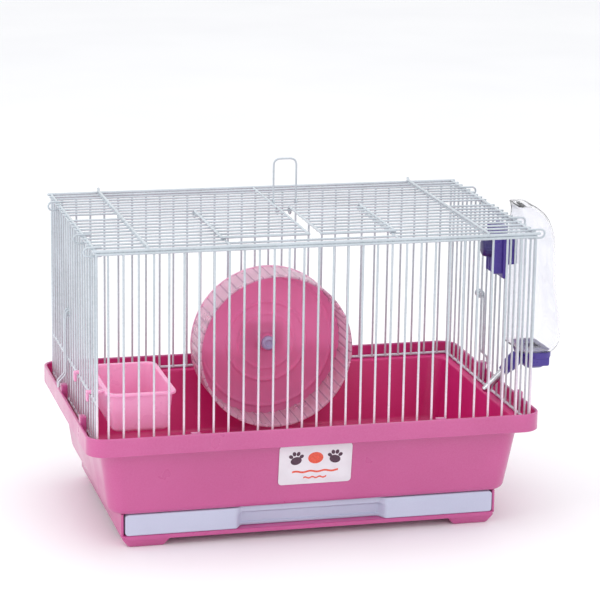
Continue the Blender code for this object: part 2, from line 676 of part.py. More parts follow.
def wheel_disc():
    """Solid back of the wheel with its hub and two pressed rings."""
    bore = AXLE_RADIUS + GAP
    front = -DISC_WALL
    profile = [(bore, 0), (bore, -HUB_LENGTH), (HUB_RADIUS, -HUB_LENGTH), (HUB_RADIUS, front)]
    for radius in DISC_RINGS:
        profile += [(radius - 0.002, front), (radius, front - 0.0012), (radius + 0.002, front)]
    profile += [(WHEEL_RADIUS, front), (WHEEL_RADIUS, 0)]
    to_object("wheel_disc", revolve(profile, 48), CLEAR_PINK, WHEEL_CENTRE, smooth=True)


def hub_cap():
    front = -HUB_LENGTH - GAP
    bm = cylinder((0, front - CAP_LENGTH, 0), (0, front, 0), CAP_RADIUS * 0.75, CAP_RADIUS)
    to_object("hub_cap", bm, DARK, WHEEL_CENTRE, smooth=True)


def wheel_mount():
    """Axle, bracket inside the back wires, plate outside them, and the two screws between."""
    x, y, z = WHEEL_CENTRE
    plate_back = HALF_D - WIRE / 2 - GAP
    plate_front = plate_back - BRACKET_PLATE
    boss_front = y + 0.0025
    axle_end = plate_front
    to_object("wheel_axle", cylinder((x, y - HUB_LENGTH + GAP, z), (x, axle_end, z), AXLE_RADIUS, sides=16),
              STEEL, smooth=True)
    half_x, half_z = BRACKET_HALF
    outline = rounded_outline(half_x, half_z, 0.005, 3)
    bracket = to_object("wheel_bracket", loft([[(x + u, depth, z + v) for u, v in outline]
                                               for depth in (plate_front, plate_back)]), DARK)
    join(bracket, cylinder((x, boss_front, z), (x, plate_front + 0.001, z), BRACKET_BOSS))
    cut(bracket, cylinder((x, boss_front - 0.001, z), (x, axle_end + GAP, z), AXLE_RADIUS + GAP, sides=16))
    out_front = HALF_D + WIRE / 2 + GAP
    out_back = out_front + BACKPLATE
    outer = rounded_outline(half_x - 0.001, 0.008, 0.004, 3)
    backplate = to_object("wheel_backplate", loft([[(x + u, depth, z + v) for u, v in outer]
                                                   for depth in (out_front, out_back)]), DARK)
    spread = WHEEL_X * 2
    for side in (-1, 1):
        screw_x = x + side * spread
        hole = ((screw_x, plate_front - 0.001, z), (screw_x, out_back + 0.001, z))
        cut(bracket, cylinder(*hole, SCREW_RADIUS + GAP, sides=12))
        cut(backplate, cylinder(*hole, SCREW_RADIUS + GAP, sides=12))
        screw = to_object("wheel_screw_" + ("left" if side < 0 else "right"),
                          cylinder((screw_x, plate_front - GAP - 0.0018, z), (screw_x, plate_front - GAP, z),
                                   SCREW_HEAD * 0.8, SCREW_HEAD), STEEL)
        join(screw, cylinder((screw_x, plate_front - GAP - 0.0005, z), (screw_x, out_back - GAP, z),
                             SCREW_RADIUS, sides=12))


# ---------------------------------------------------------------- food bowl
def bowl_rail_z():
    """Height of the left panel's rail that the bowl hangs on."""
    return RAIL_Z + BOWL_TOP - BOWL_LIP - GAP - WIRE / 2


def food_bowl():
    size_x, size_y, height = BOWL_SIZE
    top = RAIL_Z + BOWL_TOP
    low = top - height
    x = -HALF_L + BOWL_GAP + size_x / 2
    y = (side_gap(BOWL_GAPS[0]) + side_gap(BOWL_GAPS[1])) / 2
    half_x, half_y = size_x / 2, size_y / 2
    lip, wall, corner = BOWL_LIP, BOWL_WALL, 0.008
    under_x, under_y = half_x - lip, half_y - lip
    levels = [
        (under_x - BOWL_TAPER - 0.002, under_y - BOWL_TAPER - 0.002, corner - 0.004, low),
        (under_x - BOWL_TAPER, under_y - BOWL_TAPER, corner - 0.002, low + 0.002),
        (under_x, under_y, corner - 0.001, top - lip),
        (half_x, half_y, corner, top - lip),
        (half_x, half_y, corner, top),
        (under_x - wall + 0.0006, under_y - wall + 0.0006, corner - lip, top),
        (under_x - BOWL_TAPER - wall, under_y - BOWL_TAPER - wall, corner - 0.004, low + 0.003),
        (under_x - BOWL_TAPER - 0.003, under_y - BOWL_TAPER - 0.003, corner - 0.005, low + wall),
    ]
    obj = to_object("food_bowl", stacked(levels, centre=(x, y)), PALE_PINK, smooth=True)
    over = -HALF_L - WIRE / 2 - 0.0008
    end = over - 0.0022
    for index in BOWL_GAPS:
        at = side_gap(index)
        near, far = at - BOWL_HOOK_WIDTH / 2, at + BOWL_HOOK_WIDTH / 2
        join(obj, box((end, near, top - lip), (x - half_x + 0.002, far, top - 0.0002)))
        join(obj, box((end, near, top - lip - BOWL_HOOK_DROP), (over, far, top - lip + 0.0005)))


# ---------------------------------------------------------------- bottle
BOTTLE_Y = side_gap(BOTTLE_GAP_INDEX)
BOTTLE_MID_X = BOTTLE_X + BOTTLE_THICK / 2


def bottle_loops(inset=0.0):
    """Rounded rectangles up the bottle; the inner face stays against the standoff, apart from the lean."""
    rise = BOTTLE_TOP - BOTTLE_BOTTOM - 2 * inset
    loops = []
    for share, thinner, narrower, corner, lean in BOTTLE_FORM:
        half_x = (BOTTLE_THICK - thinner) / 2
        z = RAIL_Z + BOTTLE_BOTTOM + inset + rise * share
        ring = rounded_outline(half_x - inset, BOTTLE_HALF - narrower - inset, corner - inset / 2, 4,
                               (BOTTLE_X - lean + half_x, BOTTLE_Y))
        loops.append([(x, y, z) for x, y in ring])
    return loops


def bottle():
    obj = to_object("bottle", loft(bottle_loops()), CLEAR, smooth=True)
    x = BOTTLE_MID_X
    low_z = RAIL_Z + BOTTLE_BOTTOM
    join(obj, cylinder((x, BOTTLE_Y, low_z + 0.001), (x, BOTTLE_Y, low_z - NECK_LENGTH), NECK_RADIUS))
    cut(obj, loft(bottle_loops(BOTTLE_WALL)))
    cut(obj, cylinder((x, BOTTLE_Y, low_z + 0.004), (x, BOTTLE_Y, low_z - NECK_LENGTH - 0.001),
                      NECK_RADIUS - BOTTLE_WALL))


def spout_point(distance):
    """Point on the spout's axis; distance is counted outwards from the right panel's plane."""
    return Vector((HALF_L + distance * math.cos(SPOUT_ANGLE), BOTTLE_Y,
                   RAIL_Z + SPOUT_CROSSING + distance * math.sin(SPOUT_ANGLE)))


def bottle_cap():
    """Screw cap: a stepped cup under the bottle with a slanted boss for the spout."""
    high = RAIL_Z + BOTTLE_BOTTOM - GAP
    low = high - CAP_HEIGHT
    x = BOTTLE_MID_X
    wide = (BOTTLE_THICK / 2 - CAP_INSET, BOTTLE_HALF - CAP_INSET)
    narrow = (wide[0] * 0.72, wide[1] * 0.5)
    obj = to_object("bottle_cap", stacked([
        (*narrow, narrow[0] * 0.7, low), (narrow[0] + 0.0025, narrow[1] + 0.0035, narrow[0], low + 0.003),
        (*wide, 0.008, high - 0.005), (*wide, 0.008, high)], centre=(x, BOTTLE_Y)), VIOLET, smooth=True)
    join(obj, cylinder(spout_point(BOSS_TIP), spout_point(BOSS_ROOT), BOSS_RADIUS * 0.65, BOSS_RADIUS))
    cut(obj, cylinder((x, BOTTLE_Y, high + 0.001), (x, BOTTLE_Y, high - NECK_LENGTH - 0.002),
                      NECK_RADIUS + GAP))
    cut(obj, cylinder(spout_point(0), spout_point(SPOUT_ROOT + GAP), SPOUT_RADIUS + GAP, sides=16))


def cap_seal():
    """Rubber ring between the bottle's neck and the cap."""
    top = RAIL_Z + BOTTLE_BOTTOM - NECK_LENGTH - GAP
    outer, inner = NECK_RADIUS, NECK_RADIUS - 0.003
    profile = [(inner, 0), (outer, 0), (outer, 0.0012), (inner, 0.0012)]
    to_object("cap_seal", revolve(profile, 24), RUBBER, (BOTTLE_MID_X, BOTTLE_Y, top),
              (math.radians(-90), 0, 0))


def spout():
    start, end = spout_point(-SPOUT_REACH), spout_point(SPOUT_ROOT)
    tube = to_object("spout_tube", cylinder(start, end, SPOUT_RADIUS, sides=16), STEEL, smooth=True)
    cut(tube, cylinder(spout_point(-SPOUT_REACH - 0.001), spout_point(SPOUT_ROOT + 0.001),
                       SPOUT_RADIUS - SPOUT_WALL, sides=16))
    ball = bmesh.new()
    bmesh.ops.create_uvsphere(ball, u_segments=12, v_segments=8, radius=SPOUT_RADIUS - SPOUT_WALL - GAP)
    to_object("spout_ball", ball, STEEL, spout_point(-SPOUT_REACH + 0.0012), smooth=True)


def bottle_clip():
    """Clip hooked through the wires above the spout; the bottle leans on the end of its web."""
    high = RAIL_Z + CLIP_TOP
    low = high - CLIP_HEIGHT
    inner = HALF_L - WIRE / 2 - GAP
    plate = inner - CLIP_PLATE
    sink = 0.0005                    # how far a rib or the knob is rooted in the plate
    back_plate = box((plate, BOTTLE_Y - CLIP_HALF, low), (inner, BOTTLE_Y + CLIP_HALF, high))
    obj = to_object("bottle_clip", back_plate, VIOLET)
    width, depth = CLIP_RIB
    for share in CLIP_RIB_SHARES:
        y = BOTTLE_Y + share * CLIP_HALF
        join(obj, box((inner - depth, y, low + 0.004), (plate + sink, y + width, high - 0.002)))
    knob_z = low + CLIP_HEIGHT * 0.55
    join(obj, cylinder((inner - CLIP_KNOB_DEPTH, BOTTLE_Y, knob_z), (plate + sink, BOTTLE_Y, knob_z),
                       CLIP_KNOB[1], CLIP_KNOB[0], 16))
    web = SIDE_STEP / 2 - WIRE / 2 - PLAY
    join(obj, box((inner - sink, BOTTLE_Y - web, low + 0.010),
                  (BOTTLE_X - GAP, BOTTLE_Y + web, high - 0.010)))


# ---------------------------------------------------------------- the whole cage
tray()
label()
drawer_housing()
drawer()
long_panel("front_panel", -1, front_posts())
long_panel("back_panel", 1, back_posts())
side_panel("left_panel", -1)
side_panel("right_panel", 1)
top_panel()
door("left_door", DOOR_LEFT)
door("right_door", DOOR_RIGHT)
carry_loop()
for side_name, sign in (("left", -1), ("right", 1)):
    latch(side_name + "_latch", sign)
    for place, gap_index in zip(("front", "middle", "back"), HOOK_GAPS):
        joining_hook(side_name + "_hook_" + place, sign, side_gap(gap_index))
wheel_track()
wheel_disc()
hub_cap()
wheel_mount()
food_bowl()
bottle()
bottle_cap()
cap_seal()
spout()
bottle_clip()
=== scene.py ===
"""Looks of the hamster cage: smooth wires, mouldings, wheel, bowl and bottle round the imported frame."""
import math

import bmesh
import bpy
from mathutils import Matrix, Vector

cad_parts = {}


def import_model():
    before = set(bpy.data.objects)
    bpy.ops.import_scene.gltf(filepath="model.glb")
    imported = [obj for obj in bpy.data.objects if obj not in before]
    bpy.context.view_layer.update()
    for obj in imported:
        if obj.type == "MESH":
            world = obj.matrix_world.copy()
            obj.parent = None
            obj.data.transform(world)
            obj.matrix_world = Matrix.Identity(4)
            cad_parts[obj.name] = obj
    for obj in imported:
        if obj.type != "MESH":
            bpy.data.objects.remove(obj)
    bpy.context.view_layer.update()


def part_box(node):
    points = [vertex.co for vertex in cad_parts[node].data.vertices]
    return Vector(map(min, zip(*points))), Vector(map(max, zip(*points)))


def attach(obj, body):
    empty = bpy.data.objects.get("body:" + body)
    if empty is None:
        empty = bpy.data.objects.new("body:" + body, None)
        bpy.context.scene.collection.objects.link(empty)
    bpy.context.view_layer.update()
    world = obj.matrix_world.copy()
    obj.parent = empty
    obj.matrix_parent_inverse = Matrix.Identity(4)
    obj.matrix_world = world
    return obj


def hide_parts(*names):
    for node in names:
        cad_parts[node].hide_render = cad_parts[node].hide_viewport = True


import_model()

# ---------------- sizes, in metres, from the frame
MM = 0.001
RAIL_R = 1.3 * MM                    # frame rail
LOOP_R = 0.8 * MM                    # hooks, latches and the carry loop


def span(node, axis):
    low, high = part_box(node)
    return low[axis], high[axis]


def middle(node):
    low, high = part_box(node)
    return (low + high) / 2


FRONT_LOW, FRONT_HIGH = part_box("front_panel")
WIRE_R = (FRONT_HIGH.y - FRONT_LOW.y) / 2
CAGE_X = (FRONT_LOW.x + FRONT_HIGH.x) / 2
HALF_L = (FRONT_HIGH.x - FRONT_LOW.x) / 2 - WIRE_R
HALF_D = -middle("front_panel").y
RAIL_Z = FRONT_LOW.z + RAIL_R
PANEL_TOP = FRONT_HIGH.z
ROOF_Z = middle("top_panel").z
ROOF_REACH = span("top_panel", 0)[1] - CAGE_X
TRAY_LOW, TRAY_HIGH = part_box("tray")
RIM_X = (TRAY_HIGH.x - TRAY_LOW.x) / 2
RIM_Y = (TRAY_HIGH.y - TRAY_LOW.y) / 2
SIDE_STEPS = 19
SIDE_STEP = 2 * HALF_D / SIDE_STEPS


def side_gap(index):
    """Y of the middle of a gap between two wires of a side panel, counted from the front."""
    return -HALF_D + SIDE_STEP * (index + 0.5)


# ---------------- material building
class Look:
    """A material and short calls for its nodes.  Object coordinates are metres in the frame."""

    def __init__(self, name, **fixed):
        self.material = bpy.data.materials.new(name)
        self.material.use_nodes = True
        self.tree = self.material.node_tree
        self.shader = self.tree.nodes["Principled BSDF"]
        self.place = self.node("TexCoord").outputs["Object"]
        for socket, value in fixed.items():
            self.shader.inputs[socket.replace("_", " ")].default_value = value

    def node(self, kind, inputs=None, **settings):
        made = self.tree.nodes.new("ShaderNode" + kind)
        for key, value in settings.items():
            setattr(made, key, value)
        for key, value in (inputs or {}).items():
            self.feed(made.inputs[key], value)
        return made

    def feed(self, socket, value):
        if isinstance(value, bpy.types.NodeSocket):
            self.tree.links.new(value, socket)
        else:
            socket.default_value = value

    def stretched(self, stretch, turn=(0, 0, 0)):
        return self.node("Mapping", {"Vector": self.place, "Scale": stretch, "Rotation": turn}).outputs[0]

    def noise(self, scale, detail=3.0, vector=None, rough=0.5):
        return self.node("TexNoise", {"Vector": vector or self.place, "Scale": scale, "Detail": detail,
                                      "Roughness": rough}).outputs["Fac"]

    def remap(self, value, low, high, to_low=0.0, to_high=1.0):
        return self.node("MapRange", {"Value": value, "From Min": low, "From Max": high,
                                      "To Min": to_low, "To Max": to_high}).outputs[0]

    def maths(self, operation, a, b):
        return self.node("Math", {0: a, 1: b}, operation=operation).outputs[0]

    def mix(self, factor, a, b):
        made = self.node("Mix", {"Factor": factor}, data_type="RGBA")
        sockets = [s for s in made.inputs if s.type == "RGBA"]
        for socket, colour in zip(sockets, (a, b)):
            self.feed(socket, colour if isinstance(colour, bpy.types.NodeSocket) else (*colour, 1))
        return next(out for out in made.outputs if out.type == "RGBA")

    def height(self):
        return self.node("SeparateXYZ", {"Vector": self.place}).outputs["Z"]

    def bump(self, value, strength, distance):
        normal = self.node("Bump", {"Height": value, "Strength": strength, "Distance": distance})
        return normal.outputs[0]

    def scratches(self, amount):
        """Fine hairline marks in two directions; 1 on a mark."""
        marks = []
        for turn in ((0.3, 0.5, 0.9), (1.1, 0.2, -0.6)):
            lines = self.noise(60, 2, self.stretched((1.0, 14.0, 14.0), turn))
            marks.append(self.remap(lines, 0.74 - amount, 0.80))
        return self.maths("MAXIMUM", *marks)

    def finish(self, colour, roughness, normal):
        self.feed(self.shader.inputs["Base Color"], colour)
        self.feed(self.shader.inputs["Roughness"], roughness)
        self.feed(self.shader.inputs["Normal"], normal)
        return self.material


def moulded(name, colour, shade, worn, roughness=0.3, grain=0.06, wear=0.02, **fixed):
    """Injection-moulded plastic: slow drift of colour, fine grain, hairline scratches and dull patches."""
    look = Look(name, **fixed)
    drift = look.remap(look.noise(14, 2), 0.35, 0.65)
    speck = look.remap(look.noise(900, 2), 0.3, 0.7)
    body = look.mix(drift, colour, shade)
    body = look.mix(look.maths("MULTIPLY", speck, 0.12), body, worn)
    marks = look.scratches(wear)
    body = look.mix(look.maths("MULTIPLY", marks, 0.10), body, worn)
    dull = look.remap(look.noise(35, 4), 0.3, 0.75, roughness * 0.8, roughness * 1.35)
    rough = look.maths("ADD", dull, look.maths("MULTIPLY", marks, 0.18))
    relief = look.maths("SUBTRACT", look.noise(1400, 3), look.maths("MULTIPLY", marks, 0.12))
    return look.finish(body, rough, look.bump(relief, grain, 0.2 * MM))


def enamel(name, painted_tray_bounce, colour=(0.50, 0.555, 0.60)):
    """Baked white enamel over wire: orange peel, thin spots, a few chips and a rosy cast near the tray, which
    is a painted reflection of light thrown back by the pink tray.
    """
    look = Look(name, Specular_IOR_Level=0.55, Coat_Weight=0.35, Coat_Roughness=0.12)
    drift = look.remap(look.noise(30, 3), 0.35, 0.65)
    body = look.mix(drift, colour, tuple(c * 0.88 for c in colour))
    # painted reflection: below a band 15 to 70 mm over the rail the enamel turns pink, standing for light
    # thrown back by the tray
    low = look.remap(look.height(), RAIL_Z + 15 * MM, RAIL_Z + 70 * MM, painted_tray_bounce, 0)
    body = look.mix(low, body, (0.86, 0.66, 0.78))
    thin = look.remap(look.noise(420, 4), 0.62, 0.72)
    body = look.mix(look.maths("MULTIPLY", thin, 0.5), body, (0.36, 0.40, 0.46))
    chips = look.remap(look.noise(160, 5, rough=0.7), 0.745, 0.76)
    body = look.mix(chips, body, (0.22, 0.20, 0.19))
    rough = look.remap(look.noise(240, 3), 0.3, 0.7, 0.20, 0.38)
    peel = look.maths("SUBTRACT", look.noise(700, 3), look.maths("MULTIPLY", chips, 0.8))
    return look.finish(body, rough, look.bump(peel, 0.10, 0.15 * MM))


def metal(name, colour=(0.62, 0.63, 0.66), roughness=0.12):
    """Bright drawn steel: fine draw lines, smudges and small pits."""
    look = Look(name, Metallic=1.0)
    smudge = look.remap(look.noise(90, 4), 0.4, 0.7)
    body = look.mix(smudge, colour, tuple(c * 0.8 for c in colour))
    lines = look.noise(300, 2, look.stretched((1, 12, 1), (0, 0.785, 0)))
    rough = look.remap(smudge, 0, 1, roughness, roughness * 2.2)
    relief = look.maths("ADD", lines, look.noise(1600, 2))
    return look.finish(body, rough, look.bump(relief, 0.08, 0.1 * MM))


def clear(name, tint=(0.966, 0.966, 0.990)):
    """Blow-moulded clear plastic: faint waves, haze and water marks."""
    look = Look(name, Transmission_Weight=0.97, IOR=1.20)
    haze = look.remap(look.noise(55, 4), 0.5, 0.8)
    body = look.mix(haze, tint, (0.95, 0.95, 0.98))
    spots = look.remap(look.noise(420, 2), 0.68, 0.74)
    rough = look.maths("ADD", look.remap(haze, 0, 1, 0.02, 0.07), look.maths("MULTIPLY", spots, 0.12))
    waves = look.noise(26, 2, look.stretched((1, 1, 0.35)))
    return look.finish(body, rough, look.bump(waves, 0.03, 0.8 * MM))


def paper(name):
    """Coated label stock: faint fibres, a slight yellowing and scuffed gloss."""
    look = Look(name, Coat_Weight=0.3, Coat_Roughness=0.25)
    fibre = look.noise(1200, 4, look.stretched((1, 1, 3)))
    age = look.remap(look.noise(70, 3), 0.4, 0.75)
    body = look.mix(age, (0.72, 0.68, 0.73), (0.66, 0.61, 0.66))
    body = look.mix(look.remap(fibre, 0.55, 0.9, 0, 0.2), body, (0.6, 0.58, 0.6))
    return look.finish(body, look.remap(age, 0, 1, 0.35, 0.55), look.bump(fibre, 0.15, 0.05 * MM))


def ink(name, colour):
    look = Look(name)
    patchy = look.remap(look.noise(900, 3), 0.35, 0.7)
    body = look.mix(patchy, colour, tuple(min(1, c * 1.25 + 0.02) for c in colour))
    return look.finish(body, look.remap(patchy, 0, 1, 0.35, 0.5), look.bump(patchy, 0.1, 0.03 * MM))


PINK_OUT = moulded("tray_pink", (0.50, 0.070, 0.250), (0.46, 0.060, 0.225), (0.62, 0.17, 0.38), 0.34,
                   Subsurface_Weight=0.08, Subsurface_Radius=(0.006, 0.002, 0.003), Subsurface_Scale=1.0,
                   Coat_Weight=0.5, Coat_Roughness=0.16, Coat_IOR=1.6)
# The tray's inside is the same plastic as its outside; its deeper, darker pink is painted shade.
PINK_IN_PAINTED_SHADE = moulded("tray_pink_inside_painted_shade", (0.60, 0.012, 0.17), (0.53, 0.009, 0.14), (0.66, 0.06, 0.26), 0.38)
BOWL_PINK = moulded("bowl_pink", (0.86, 0.34, 0.56), (0.80, 0.29, 0.50), (0.92, 0.54, 0.70), 0.3,
                    Subsurface_Weight=0.25, Subsurface_Radius=(0.008, 0.004, 0.005), Subsurface_Scale=1.0)
TRACK_PINK = moulded("wheel_track_pink", (0.93, 0.70, 0.82), (0.90, 0.63, 0.77), (0.95, 0.80, 0.88), 0.30,
                     wear=0.0, Transmission_Weight=0.55, IOR=1.15)
# The rib crests are the same plastic as the track; their darker mauve is painted shade for the dark lines
# between the rungs.
RIB_PAINTED_SHADE = moulded("wheel_rib_painted_shade", (0.62, 0.38, 0.52), (0.56, 0.33, 0.47), (0.80, 0.60, 0.70), 0.30,
                    wear=0.0, Transmission_Weight=0.3, IOR=1.15)
DISC_PINK = moulded("wheel_disc_pink", (0.96, 0.32, 0.60), (0.92, 0.27, 0.55), (0.96, 0.50, 0.70), 0.62,
                    wear=0.0, Transmission_Weight=0.42, IOR=1.25)
DRAWER_WHITE = moulded("drawer_white", (0.50, 0.52, 0.66), (0.46, 0.48, 0.62), (0.64, 0.65, 0.74), 0.4)
VIOLET = moulded("clip_violet", (0.055, 0.028, 0.27), (0.045, 0.022, 0.22), (0.16, 0.13, 0.45), 0.28)
VIOLET_DARK = moulded("knob_violet", (0.022, 0.012, 0.12), (0.016, 0.010, 0.09), (0.10, 0.08, 0.25), 0.3)
HUB_GREY = moulded("hub_lilac", (0.42, 0.40, 0.62), (0.36, 0.33, 0.56), (0.62, 0.60, 0.75), 0.32)
MAGENTA_DARK = moulded("bracket_magenta", (0.20, 0.015, 0.075), (0.16, 0.012, 0.06), (0.36, 0.08, 0.18), 0.4)
RUBBER = moulded("seal_rubber", (0.03, 0.03, 0.032), (0.02, 0.02, 0.022), (0.10, 0.10, 0.11), 0.7)
# The second number sets how strongly the lower wires carry the painted pink reflection of the tray; the front
# wires carry more of it.
ENAMEL = enamel("wire_enamel", 0.2)
FRONT_ENAMEL_PAINTED_BOUNCE = enamel("front_wire_enamel_painted_bounce", 0.78)
STEEL = metal("bright_steel")
SCREW_STEEL = metal("screw_steel", (0.42, 0.42, 0.46), 0.25)
CLEAR = clear("bottle_clear")
PAPER = paper("label_paper")
INK_DARK = ink("ink_plum", (0.05, 0.012, 0.035))
INK_RED = ink("ink_coral", (0.62, 0.07, 0.035))


# ---------------- mesh helpers
def piece(name, bm, look, body, *nodes, extra=None):
    """Finish a mesh drawn in the frame's coordinates as a shown piece that rides on a body."""
    bmesh.ops.recalc_face_normals(bm, faces=bm.faces)
    mesh = bpy.data.meshes.new(name)
    bm.to_mesh(mesh)
    bm.free()
    mesh.shade_smooth()
    mesh.set_sharp_from_angle(angle=math.radians(42))
    obj = bpy.data.objects.new(name, mesh)
    obj.data.materials.append(look)
    if extra:
        obj.data.materials.append(extra)
    bpy.context.collection.objects.link(obj)
    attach(obj, body)
    if nodes:
        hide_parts(*nodes)
    return obj


def turns(count):
    """Angles evenly round a circle."""
    return [math.tau * k / count for k in range(count)]


def skin(bm, loops, wrap=False, caps=True, index=lambda level, i: 0):
    """Join a stack of closed loops of points; wrap joins the last to the first, else caps fill both ends."""
    rings = [[bm.verts.new(p) for p in loop] for loop in loops]
    for level, (lower, upper) in enumerate(zip(rings, rings[1:] + rings[:1] if wrap else rings[1:])):
        for i, vert in enumerate(lower):
            j = (i + 1) % len(lower)
            bm.faces.new((vert, lower[j], upper[j], upper[i])).material_index = index(level, i)
    if caps:
        bm.faces.new(list(reversed(rings[0]))).material_index = index(0, 0)
        bm.faces.new(rings[-1]).material_index = index(len(rings) - 2, 0)


def tube(bm, points, radius, sides=12, closed=False):
    """Add a round wire along a path; open ends are slightly rounded."""
    path = [Vector(p) for p in points]
    radii = [radius] * len(path)
    if not closed:
        first = (path[1] - path[0]).normalized() * radius * 0.35
        last = (path[-1] - path[-2]).normalized() * radius * 0.35
        path = [path[0], path[0] + first] + path[1:-1] + [path[-1] - last, path[-1]]
        radii = [radius * 0.65, radius] + [radius] * (len(path) - 4) + [radius, radius * 0.65]
    loops, side, count = [], None, len(path)
    for i, point in enumerate(path):
        before = path[i - 1] if i or closed else point
        after = path[(i + 1) % count] if i + 1 < count or closed else point
        forward = (after - before).normalized()
        side = side or forward.orthogonal()
        side = (side - forward * side.dot(forward)).normalized()
        up = forward.cross(side)
        loops.append([point + radii[i] * (side * math.cos(a) + up * math.sin(a)) for a in turns(sides)])
    skin(bm, loops, wrap=closed, caps=not closed)


def weld(bm, centre, radius=1.25 * MM, squash=(1, 1, 1)):
    """Add the small bead of enamel round a spot weld."""
    place = Matrix.Translation(Vector(centre)) @ Matrix.Diagonal((*squash, 1))
    bmesh.ops.create_icosphere(bm, subdivisions=2, radius=radius, matrix=place)


def arc(centre, radius, start, end, steps, plane="YZ", fixed=0.0):
    """Points on an arc in a plane; angles in degrees from the plane's first axis."""
    points = []
    for i in range(steps + 1):
        angle = math.radians(start + (end - start) * i / steps)
        u = centre[0] + radius * math.cos(angle)
        v = centre[1] + radius * math.sin(angle)
        points.append((fixed, u, v) if plane == "YZ" else (u, fixed, v))
    return points


def softened(corners, radii, steps=4, share=0.48):
    """Turn each inner corner of a path on a smooth bend that takes at most a share of its two sides."""
    pts = [Vector(p) for p in corners]
    path = [pts[0]]
    for before, here, after, radius in zip(pts, pts[1:], pts[2:], radii):
        reach = min(radius, (before - here).length * share, (after - here).length * share)
        start = here + (before - here).normalized() * reach
        end = here + (after - here).normalized() * reach
        for i in range(steps + 1):
            t = i / steps
            path.append(start * (1 - t) ** 2 + here * 2 * t * (1 - t) + end * t * t)
    return path + [pts[-1]]


def bent(corners, radius, steps=5):
    """A wire's path with the same bend at each inner corner."""
    return softened(corners, [radius] * len(corners), steps, 0.49)


def outline(half_x, half_y, corner, steps=10):
    """Points round a rectangle with round corners, anticlockwise."""
    points = []
    for turn, (sx, sy) in enumerate(((1, 1), (-1, 1), (-1, -1), (1, -1))):
        for step in range(steps + 1):
            angle = math.pi / 2 * (turn + step / steps)
            points.append((sx * (half_x - corner) + corner * math.cos(angle),
                           sy * (half_y - corner) + corner * math.sin(angle)))
    return points


def rounded_block(bm, corner, opposite, radius=0.6 * MM, segments=3):
    """Add a box between two opposite corners with every edge rounded."""
    a, b = Vector(corner), Vector(opposite)
    size = [abs(length) for length in b - a]
    place = Matrix.Translation((a + b) / 2) @ Matrix.Diagonal((*size, 1))
    made = bmesh.ops.create_cube(bm, size=1, matrix=place)
    edges = list({e for v in made["verts"] for e in v.link_edges})
    bmesh.ops.bevel(bm, geom=edges, offset=radius, segments=segments, profile=0.5, affect="EDGES",
                    clamp_overlap=True)


def revolved(bm, profile, centre, sides=96, closed=True):
    """Turn an outline of (radius, y) about an axis along Y through centre."""
    rings = [[bm.verts.new((centre[0] + r * math.cos(a), centre[1] + y, centre[2] + r * math.sin(a)))
              for r, y in profile] for a in turns(sides)]
    count = len(profile)
    for ring_here, following in zip(rings, rings[1:] + rings[:1]):
        for k in range(count if closed else count - 1):
            n = (k + 1) % count
            bm.faces.new((ring_here[k], ring_here[n], following[n], following[k]))


# ---------------- wire panels
def world(x, y, z):
    """A point given from the cage's middle."""
    return Vector((CAGE_X + x, y, z))


def line(bm, a, b, radius, sides=12):
    tube(bm, (world(*a), world(*b)), radius, sides)


def rail(bm, a, b):
    """A thick frame wire, drawn a little inside its CAD size to leave room for the welds."""
    line(bm, a, b, RAIL_R - 0.1 * MM, 16)


FRONT_GAPS, BACK_GAPS, CORNER_GAP = 29, 28, 9 * MM
FRONT_STEP = (2 * HALF_L - CORNER_GAP) / FRONT_GAPS
BACK_STEP = (2 * HALF_L - 2 * CORNER_GAP) / BACK_GAPS
FRONT_POSTS = [-HALF_L] + [HALF_L - FRONT_STEP * k for k in range(FRONT_GAPS, -1, -1)]
BACK_POSTS = [-HALF_L] + [BACK_STEP * (k - BACK_GAPS / 2) for k in range(BACK_GAPS + 1)] + [HALF_L]
TOP_RAIL_Z = PANEL_TOP - RAIL_R
POST_SET = 0.35 * MM                 # posts sit this far inside the rails they are welded to


def long_wires(name, node, side, posts):
    """Front or back panel: two rails and the upright wires welded to their inner faces."""
    bm = bmesh.new()
    y = side * HALF_D
    inner = y - side * POST_SET
    for z in (RAIL_Z, TOP_RAIL_Z):
        rail(bm, (-HALF_L - WIRE_R, y, z), (HALF_L + WIRE_R, y, z))
    for x in posts:
        line(bm, (x, inner, RAIL_Z - RAIL_R), (x, inner, PANEL_TOP), WIRE_R)
        for z in (RAIL_Z, TOP_RAIL_Z):
            weld(bm, world(x, inner, z), 1.3 * MM, (1.05, 0.7, 1.1))
    piece(name, bm, FRONT_ENAMEL_PAINTED_BOUNCE if side < 0 else ENAMEL, "wire_top", node)


def side_wires(name, node, side):
    """End panel: as the long ones, with a short wire for the latch and, on the left, the bowl's rail."""
    bm = bmesh.new()
    x = side * HALF_L
    inner = x - side * POST_SET
    end = HALF_D - 1.3 * MM
    for z in (RAIL_Z, TOP_RAIL_Z):
        rail(bm, (x, -end, z), (x, end, z))
    ys = [-end + WIRE_R] + [-HALF_D + SIDE_STEP * k for k in range(1, SIDE_STEPS)] + [end - WIRE_R]
    for y in ys:
        line(bm, (inner, y, RAIL_Z - RAIL_R), (inner, y, PANEL_TOP), WIRE_R)
        for z in (RAIL_Z, TOP_RAIL_Z):
            weld(bm, world(inner, y, z), 1.3 * MM, (0.7, 1.05, 1.1))
    pivot, z = side_gap(LATCH_GAP), LATCH_Z
    line(bm, (x, pivot - SIDE_STEP / 2 - 0.8 * MM, z), (x, pivot + SIDE_STEP / 2 + 0.8 * MM, z), LOOP_R)
    if side < 0:
        hang = span("food_bowl", 2)[1] - 3.9 * MM
        line(bm, (x + 0.3 * MM, -end, hang), (x + 0.3 * MM, end, hang), WIRE_R)
        for y in ys:
            weld(bm, world(x, y, hang), 1.15 * MM)
    piece(name, bm, ENAMEL, "wire_top", node)


